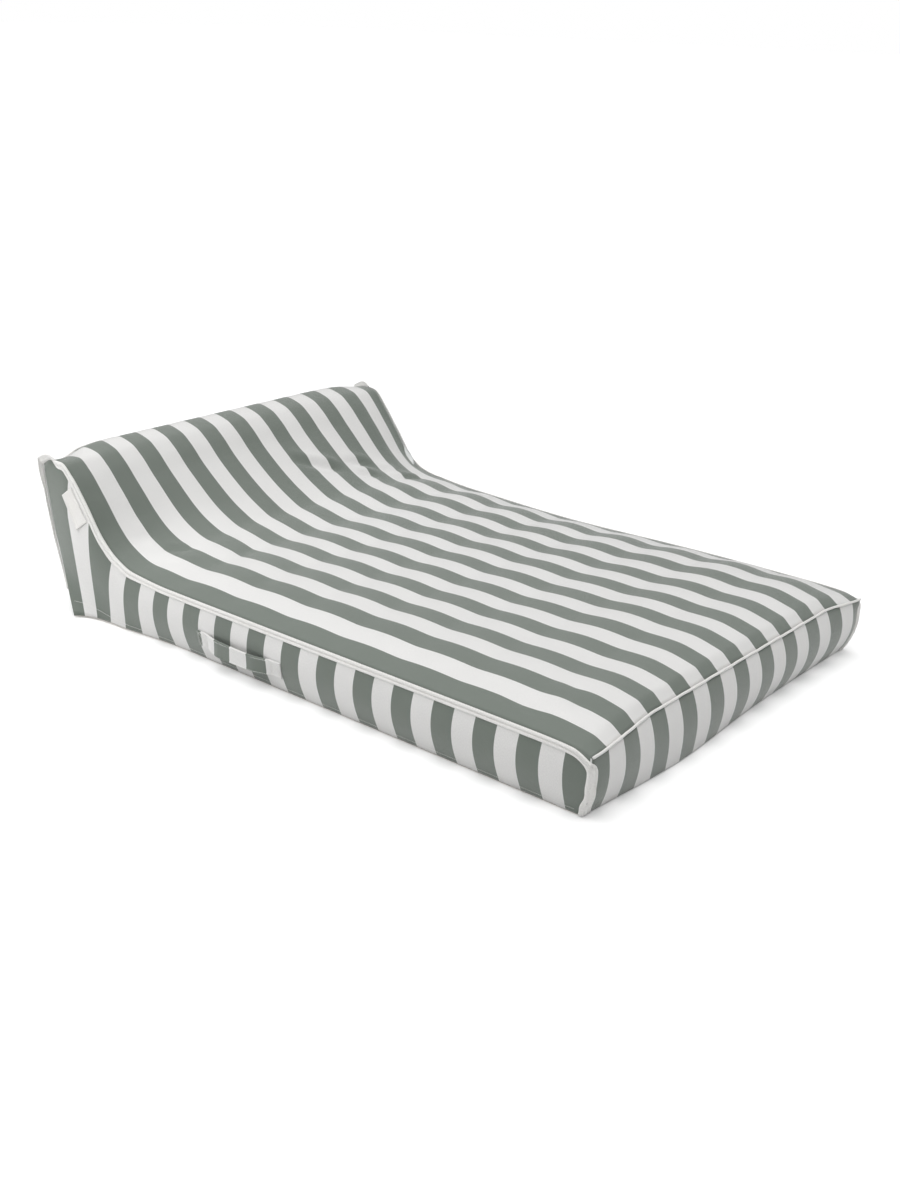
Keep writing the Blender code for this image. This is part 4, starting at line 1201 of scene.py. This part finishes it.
def make_zip_coils():
    """Two real coils whose turns alternate, with the slider's channel between them."""
    turns = int(2 * (ZIP_HALF_M - COIL_PITCH_M) / COIL_PITCH_M)
    angle = np.linspace(0, 2 * math.pi * turns, turns * 10)
    for sign, word in ((-1, "lower"), (1, "upper")):
        squared = 1 / np.maximum(np.abs(np.cos(angle)), np.abs(np.sin(angle))) ** 0.6
        middle, half = (COIL_INNER_M + COIL_OUTER_M) / 2, (COIL_OUTER_M - COIL_INNER_M) / 2 - COIL_WIRE_M
        across = middle + np.clip(half * np.cos(angle) * squared, -half, half)
        height = -0.0013 + np.clip(0.00085 * np.sin(angle) * squared, -0.00085, 0.00085)
        along = -ZIP_HALF_M + COIL_PITCH_M + angle / (2 * math.pi) * COIL_PITCH_M + sign * COIL_PITCH_M / 4
        path = np.stack([along, sign * across, height], axis=1)
        made = tube(f"zip_coil_{word}_turns", moved_to(ZIP_PLACE, path), COIL_WIRE_M, ZIP_PLASTIC,
                    up=(1, 0, 0.01), sides=5)
        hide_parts(f"zip_coil_{word}")


def make_zip():
    for sign, word in ((-1, "lower"), (1, "upper")):
        near, far = sorted((sign * 0.0032, sign * 0.0135))
        tape = [((-ZIP_FULL_M, near, -0.0024), (ZIP_FULL_M, far, -0.0017))]
        made = built(f"zip_tape_{word}_cloth", tape, ZIP_PLACE, TAPE_CLOTH, "float",
                     f"zip_tape_{word}", 0.0002)
    make_zip_coils()
    for sign, word in ((-1, "right"), (1, "left")):
        near, far = sorted((sign * (ZIP_HALF_M + 0.0003), sign * (ZIP_HALF_M + 0.003)))
        stop = [((near, -0.0029, -0.0028), (far, 0.0029, 0.0002))]
        made = built(f"zip_stop_{word}_clip", stop, ZIP_PLACE, ZIP_METAL, "float",
                     f"zip_stop_{word}", 0.0006)
        near, far = sorted((sign * (ZIP_HALF_M + 0.006), sign * (ZIP_FULL_M - 0.0085)))
        make_end_tab(word, near, far)
    slider_place = ZIP_PLACE @ Matrix.Translation((SLIDER_X_M, 0, 0))
    pin = Matrix.Translation((0, 0, PIN_OUT_M)) @ Matrix.Rotation(math.pi / 2, 4, "X")
    slider = [((-0.0065, -0.0055, 0.0004), (0.0065, 0.0055, 0.0019))]
    slider += [((-0.0055, -0.0003, -0.0035), (-0.0015, 0.0003, 0.001))]
    slider += [((-0.0065, -0.0055, -0.0044), (0.0065, 0.0055, -0.0031))]
    slider += [((-0.0016, s - 0.0006, 0.001), (0.0016, s + 0.0006, 0.0052)) for s in (-0.0030, 0.0030)]
    slider += [([(0, -0.003), (0.0008, -0.003), (0.0008, 0.003), (0, 0.003)], 24, pin)]
    made = built("zip_slider_body", slider, slider_place, ZIP_METAL, "zip_slider", "zip_slider", 0.00035)
    eye = [(0.0012, -0.002), (0.0020, -0.002), (0.0020, 0.002), (0.0012, 0.002)]
    pull = [(eye, 24, pin)]
    pull += [((0.0016, -0.002, PIN_OUT_M - 0.0007), (0.008, 0.002, PIN_OUT_M + 0.0007))]
    pull += [((0.007, -0.0034, PIN_OUT_M - 0.0007), (0.030, 0.0034, PIN_OUT_M + 0.0007))]
    made = built("zip_pull_tab", pull, slider_place, ZIP_METAL, "zip_pull", "zip_pull", 0.0004)


def make_end_tab(word, near, far):
    """A cloth patch with a turned rim, stitched down over a zip's end."""
    s, t = np.meshgrid(np.linspace(near, far, 16), np.linspace(-0.014, 0.014, 24), indexing="ij")
    edge = np.minimum(np.minimum(s - near, far - s), 0.014 - np.abs(t))
    top = 0.0006 + 0.0008 * np.sqrt(np.clip(edge / 0.0012, 0, 1))
    upper = moved_to(ZIP_PLACE, np.stack([s, t, top], -1))
    lower = moved_to(ZIP_PLACE, np.stack([s, t, 0 * s + 0.0003], -1))
    rings = np.concatenate([upper, lower[:, ::-1]], axis=1)
    made = loft(f"zip_end_patch_{word}", rings, STRIPED)
    box_uvs(made)
    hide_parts(f"zip_end_tab_{word}")
    rim = [upper[2, 3:-3], upper[-3, 3:-3], upper[2:-2, 3], upper[2:-2, -4]]
    rows = [(row, np.array(ZIP_PLACE)[:3, 2]) for row in rim]
    thread = stitch_rows(f"zip_patch_stitches_{word}", rows, THREAD, 0.0024, 0.0034)


# ---------------------------------------------------------------- valves

BLADDER_INSET_M, GAP_M, WALL_M = 0.0043, 0.0003, 0.0006
VALVE_SEGMENTS = 56
# Outlines in metres, as (radius, height over the bladder)
BASE = [(0.0172, 0), (0.030, 0), (0.030, 0.0012), (0.020, 0.0012), (0.020, 0.009), (0.0172, 0.009)]
PLUG = [
    (0.009, 0.0093), (0.0148, 0.0093), (0.0148, 0.004), (0.0164, 0.004), (0.0164, 0.0093),
    (0.020, 0.0093), (0.020, 0.0113), (0.011, 0.0113), (0.011, 0.0143), (0.009, 0.0143),
]
STOPPER = [
    (0, 0.0146), (0.0066, 0.0146), (0.0066, 0.0105), (0.0082, 0.0105), (0.0082, 0.0146),
    (0.0125, 0.0146), (0.0125, 0.0166), (0, 0.0166),
]
FLAP = [(0, 0.0082), (0.0125, 0.0082), (0.0125, 0.009), (0, 0.009)]


def back_point(surface, x, f):
    return surface(np.array([x]), np.array([f]))[0]


def back_up(surface, x):
    """The way that is up along a back panel at x."""
    up = back_point(surface, x, 1.0) - back_point(surface, x, 0.0)
    up[0] = 0
    return up / np.linalg.norm(up)


def port_frame(surface, x):
    return back_frame(Vector(back_point(surface, x, 0.5)), back_up(surface, x))


def make_valve(name, port):
    """A welded base, a hinged deflation plug, its one-way flap and a hinged stopper."""
    place = port @ Matrix.Translation((0, 0, GAP_M - BLADDER_INSET_M))
    here = Matrix.Identity(4)
    weld = [[(r, 0.0011), (r + 0.0006, 0.0011), (r + 0.0003, 0.0015)] for r in (0.0225, 0.0250, 0.0275)]
    base = [(BASE, VALVE_SEGMENTS, here), ((0.0185, -0.004, 0.0006), (0.0255, 0.004, 0.0085))]
    base += [(ridge, VALVE_SEGMENTS, here) for ridge in weld]
    plug = [(PLUG, VALVE_SEGMENTS, here), ((0.0185, -0.0035, 0.0093), (0.0245, 0.0035, 0.0113))]
    plug += [((-0.0178, -0.0025, 0.0105), (-0.0138, 0.0025, 0.0139))]
    stopper = [(STOPPER, VALVE_SEGMENTS, here), ((-0.0168, -0.002, 0.0147), (-0.011, 0.002, 0.0165))]
    stopper += [((0.0115, -0.003, 0.0147), (0.0155, 0.003, 0.0165))]
    flap = [(FLAP, VALVE_SEGMENTS, here)]
    made = built(f"{name}_valve_collar", base, place, VALVE_PLASTIC, "float", f"{name}_valve_base")
    pieces = (("plug", "cap", plug, VALVE_PLASTIC, "valve_plastic"),
              ("stopper", "lid", stopper, SOFT_PLASTIC, "soft_plastic"),
              ("flap", "disc", flap, SOFT_PLASTIC, "soft_plastic"))
    for kind, word, parts, material, slot in pieces:
        body = f"{name}_valve_{kind}"
        made = built(f"{body}_{word}", parts, place, material, body, body)


def make_port_ring(name, port):
    """A rolled cloth ring round a port, with one row of stitches."""
    place = port @ Matrix.Translation((0, 0, 2 * GAP_M))
    profile = [(0.027, 0), (0.038, 0)]
    for angle in np.linspace(0, math.pi, 13):
        swell = 0.0010 * abs(math.sin(2 * angle)) ** 0.7 + 0.0004
        profile.append((0.0325 + 0.0055 * math.cos(angle), min(swell, 0.0014)))
    ring = [(profile, 72, Matrix.Identity(4))]
    made = built(f"{name}_port_binding", ring, place, TRIM, "float", f"{name}_port_ring", 0)
    box_uvs(made)
    angle = np.linspace(0, 2 * math.pi, 90)
    local = np.stack([0.0325 * np.cos(angle), 0.0325 * np.sin(angle), 0 * angle + 0.0006], 1)
    rows = [(moved_to(place, local), np.array(place)[:3, 2])]
    thread = stitch_rows(f"{name}_port_stitches", rows, THREAD, 0.0026, 0.0036)


# ---------------------------------------------------------------- the bladders

SPLIT = 3.0                         # height where the headrest bladder lies on the mattress
INSIDE = BLADDER_INSET_M / STRIPE
FLOOR_M = 0.004
BLADDER_HOLE_M = 0.0235             # the film is cut away this far round a valve, under its base
GROOVES = [FIRST_GROOVE - CHAMBER_PITCH * k for k in range(CHAMBER_WEBS)]
SIDE_ROUND, SIDE_DEPTH = 0.62, 0.75         # the bladders' rounded sides: width, and depth on z


def inner_back(surface, x, f):
    """A row of a back panel's points, moved in to the bladder's wall."""
    f = np.asarray(f, float)
    points = surface(np.full(f.shape, x), f)
    up = back_up(surface, x)
    return points + np.cross([1, 0, 0], up) * BLADDER_INSET_M


def mattress_ring(x):
    """The mattress bladder's outline in the plane at x, from the foot up and round."""
    x_in = np.clip(x, 0.6 - HALF_WIDTH, HALF_WIDTH - 0.6)
    front = foot_surface(np.full(9, x_in), np.linspace(0.86, 0.14, 9))
    front[:, 1] += 1.5 * BLADDER_INSET_M
    y = np.concatenate([np.linspace(FOOT + 0.75, 7.6, 150), np.linspace(7.8, 12.6, 20)])
    top = top_surface(np.full(y.shape, x_in), y)
    weld = sum(np.exp(-(((y - groove) / 0.12) ** 2)) for groove in GROOVES)
    top[:, 2] -= BLADDER_INSET_M + 0.0016 * weld
    level = y > FIRST_GROOVE + 1.2
    top[level, 1] = y[level] * STRIPE
    top[level, 2] = np.minimum(top[level, 2], SPLIT * STRIPE)
    back = inner_back(back_lower_surface, x_in, np.linspace(0.88, 0.10, 22))
    floor = [(0, y * STRIPE, FLOOR_M) for y in np.linspace(13.1, FOOT + 0.8, 30)]
    ring = np.concatenate([front, top, [(0, 13.9 * STRIPE, SPLIT * STRIPE)], back, floor])
    ring[:, 0] = x * STRIPE
    return ring


def headrest_front(x):
    return 10.75 - 2.0 * crown(np.asarray(x, float), CREASE)


def headrest_ring(x):
    """The headrest bladder's outline in the plane at x, from its front edge over the top."""
    x_in = np.clip(x, 0.6 - HALF_WIDTH, HALF_WIDTH - 0.6)
    front = float(headrest_front(x_in))
    base = SPLIT * STRIPE + 0.001
    y = np.concatenate([np.linspace(front + 0.12, 13.94, 30), [14.3, 14.6]])
    top = top_surface(np.full(y.shape, x_in), y)
    top[:, 2] -= BLADDER_INSET_M * 1.7
    top[:, 2] = np.maximum(top[:, 2], base + 0.002)
    back = inner_back(back_upper_surface, x_in, np.linspace(0.93, 0.08, 18))
    floor = [(0, y * STRIPE, base) for y in np.linspace(14.1, front, 14)]
    ring = np.concatenate([top, back, floor])
    ring[:, 0] = x * STRIPE
    return ring


def side_stations():
    """(x, how far round the bladder's side edge the ring is, 0 to 1) from left to right."""
    bend = np.sin(np.linspace(0, math.pi / 2, 9)[1:])
    left = [(-HALF_WIDTH + SIDE_ROUND * (1 - b), b) for b in bend[::-1]]
    inner = [(x, 0.0) for x in np.linspace(SIDE_ROUND - HALF_WIDTH, HALF_WIDTH - SIDE_ROUND, 78)]
    return left + inner + [(-x, b) for x, b in left[::-1]]


def make_bladder(name, ring_at, surface, valve_x):
    """A film bladder, rounded at both sides and open at its valve."""
    rings = []
    for x, b in side_stations():
        ring = ring_at(x * 0.992)
        inset = (1 - math.sqrt(max(1 - b * b, 0))) * SIDE_DEPTH * STRIPE
        low, high = ring.min(0), ring.max(0)
        middle, size = (low + high) / 2, np.maximum(high - low, 1e-6)
        factors = 1 - 2 * inset / size
        factors[0] = 1
        rings.append(middle + (ring - middle) * factors)
    rings = np.array(rings)
    rows, columns = rings.shape[:2]
    faces = grid_faces(rows, columns, wrap=True)
    centre = inner_back(surface, valve_x, np.array([0.5]))[0]
    middles = rings.reshape(-1, 3)[faces].mean(1)
    kept = [list(f) for f in faces[np.linalg.norm(middles - centre, axis=1) > BLADDER_HOLE_M]]
    kept += closed_ends(rows, columns)
    made = new_object(f"{name}_bladder_film", rings.reshape(-1, 3), kept, FILM)
    face_out(made)
    thicken(made, WALL_M, offset=-1)
    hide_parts(f"{name}_bladder")


def make_web(name, node, y_of, low_m, top_gap_m):
    """A film web across a bladder, from its floor to its top, slightly bellied by the air."""
    x, t = np.meshgrid(np.linspace(-9.3, 9.3, 90), np.linspace(0, 1, 16), indexing="ij")
    y = y_of(x)
    top = top_surface(x, y)
    z = low_m + (top[..., 2] - top_gap_m - low_m) * t
    belly = 0.0012 * np.sin(math.pi * t) * np.sin(x * 0.9)
    points = np.stack([x * STRIPE, y * STRIPE + belly, z], -1)
    made = new_object(name, points.reshape(-1, 3), grid_faces(90, 16), FILM)
    thicken(made, WALL_M, offset=0)
    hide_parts(node)


def make_bladders():
    make_bladder("mattress", mattress_ring, back_lower_surface, MAIN_VALVE_X)
    make_bladder("headrest", headrest_ring, back_upper_surface, HEAD_VALVE_X)
    for k, groove in enumerate(GROOVES[::-1]):
        number = k + 1
        make_web(f"mattress_web_film_{number}", f"mattress_web_{number}",
                 lambda x, groove=groove: groove + 0 * x, FLOOR_M + 2 * WALL_M, 0.0082)
    base = SPLIT * STRIPE + 0.0025
    for word, share in (("front", 0.4), ("rear", 0.8)):
        make_web(f"headrest_web_film_{word}", f"headrest_web_{word}",
                 lambda x, share=share: headrest_front(x) * (1 - share) + 13.94 * share, base, 0.0095)


def make_valves():
    sites = (("main", back_lower_surface, MAIN_VALVE_X), ("headrest", back_upper_surface, HEAD_VALVE_X))
    for name, surface, x in sites:
        port = port_frame(surface, x)
        make_valve(name, port)
        make_port_ring(name, port)


# ---------------------------------------------------------------- camera, floor and light

CAMERA_PLACE_M = (-2.706, -2.232, 1.460)
CAMERA_YAW, CAMERA_PITCH, CAMERA_ROLL = (math.radians(a) for a in (50.74, -21.71, 1.90))
CAMERA_LENS = 44.985


def make_camera():
    data = bpy.data.cameras.new("camera")
    data.lens = CAMERA_LENS
    camera = linked("camera", data)
    forward = Vector((
        math.sin(CAMERA_YAW) * math.cos(CAMERA_PITCH),
        math.cos(CAMERA_YAW) * math.cos(CAMERA_PITCH),
        math.sin(CAMERA_PITCH),
    ))
    level = Vector((math.cos(CAMERA_YAW), -math.sin(CAMERA_YAW), 0))
    upright = level.cross(forward)
    right = level * math.cos(CAMERA_ROLL) + upright * math.sin(CAMERA_ROLL)
    up = right.cross(forward)
    turn = Matrix((right, up, -forward)).transposed().to_4x4()
    camera.matrix_world = Matrix.Translation(CAMERA_PLACE_M) @ turn
    bpy.context.scene.camera = camera


FLOOR_HALF_M = 60.0
FLOOR_GLOW = 0.24                   # only what the camera sees of the floor; it lights nothing
SKY_LOW, SKY_HIGH = 0.08, 0.84      # the sky's strength at the horizon and overhead
SUN_STRENGTH = 1.46                 # a broad, soft overhead lamp
SUN_WIDTH = math.radians(50)
SUN_FROM = (-0.02, 0.08, 1.0)


def make_floor():
    nodes = Nodes("studio_floor")
    place = nodes.add("ShaderNodeTexCoord").outputs["Object"]
    cloud = nodes.noise(place, 0.7, 2.0)
    seen = nodes.add("ShaderNodeLightPath").outputs["Is Camera Ray"]
    nodes.finish({
        "Base Color": nodes.mix(cloud, grey(0.88), grey(0.90)),
        "Roughness": 0.9,
        "Emission Color": grey(1.0),
        "Emission Strength": nodes.maths("MULTIPLY", seen, FLOOR_GLOW),
    })
    half = FLOOR_HALF_M
    corners = [(-half, -half, 0), (half, -half, 0), (half, half, 0), (-half, half, 0)]
    floor = new_object("floor", corners, [(0, 1, 2, 3)], nodes.material, body=None)


def make_world():
    world = bpy.data.worlds.new("studio")
    bpy.context.scene.world = world
    world.use_nodes = True
    tree = world.node_tree
    sky = tree.nodes["Background"]
    sky.inputs["Color"].default_value = grey(1.0)
    place = tree.nodes.new("ShaderNodeTexCoord")
    parts = tree.nodes.new("ShaderNodeSeparateXYZ")
    height = tree.nodes.new("ShaderNodeMapRange")
    height.inputs[3].default_value = SKY_LOW
    height.inputs[4].default_value = SKY_HIGH
    tree.links.new(place.outputs["Generated"], parts.inputs[0])
    tree.links.new(parts.outputs[2], height.inputs[0])
    tree.links.new(height.outputs[0], sky.inputs["Strength"])
    seen = tree.nodes.new("ShaderNodeBackground")
    seen.inputs["Color"].default_value = grey(1.0)
    seen.inputs["Strength"].default_value = 1.0
    path = tree.nodes.new("ShaderNodeLightPath")
    mix = tree.nodes.new("ShaderNodeMixShader")
    tree.links.new(path.outputs["Is Camera Ray"], mix.inputs[0])
    tree.links.new(sky.outputs[0], mix.inputs[1])
    tree.links.new(seen.outputs[0], mix.inputs[2])
    tree.links.new(mix.outputs[0], tree.nodes["World Output"].inputs["Surface"])


def aim(lamp, place, forward):
    lamp.location = place
    lamp.rotation_mode = "QUATERNION"
    lamp.rotation_quaternion = forward.to_track_quat("-Z", "Y")


def add_overhead_light():
    data = bpy.data.lights.new("overhead_light", "SUN")
    data.energy = SUN_STRENGTH
    data.angle = SUN_WIDTH
    aim(linked("overhead_light", data), Vector(SUN_FROM) * 4, -Vector(SUN_FROM))


# The square side lamps: place and width in metres, power in watts, and what they point at
LAMPS = [("left_softbox", (-1.9, 1.5, 1.4), 1.2, 13.0, (-0.5, 0.7, 0.2))]


def add_softbox(name, place, width, power, target):
    data = bpy.data.lights.new(name, "AREA")
    data.shape = "SQUARE"
    data.size = width
    data.energy = power
    aim(linked(name, data), Vector(place), Vector(target) - Vector(place))


def make_studio():
    make_camera()
    make_floor()
    make_world()
    add_overhead_light()
    for lamp in LAMPS:
        add_softbox(*lamp)
    bpy.context.scene.view_settings.view_transform = "Standard"


make_cover()
make_bindings()
make_hem_stitches()
for side, word in ((-1, "left"), (1, "right")):
    make_handle(side, word)
make_label()
make_zip()
make_valves()
make_bladders()
make_studio()
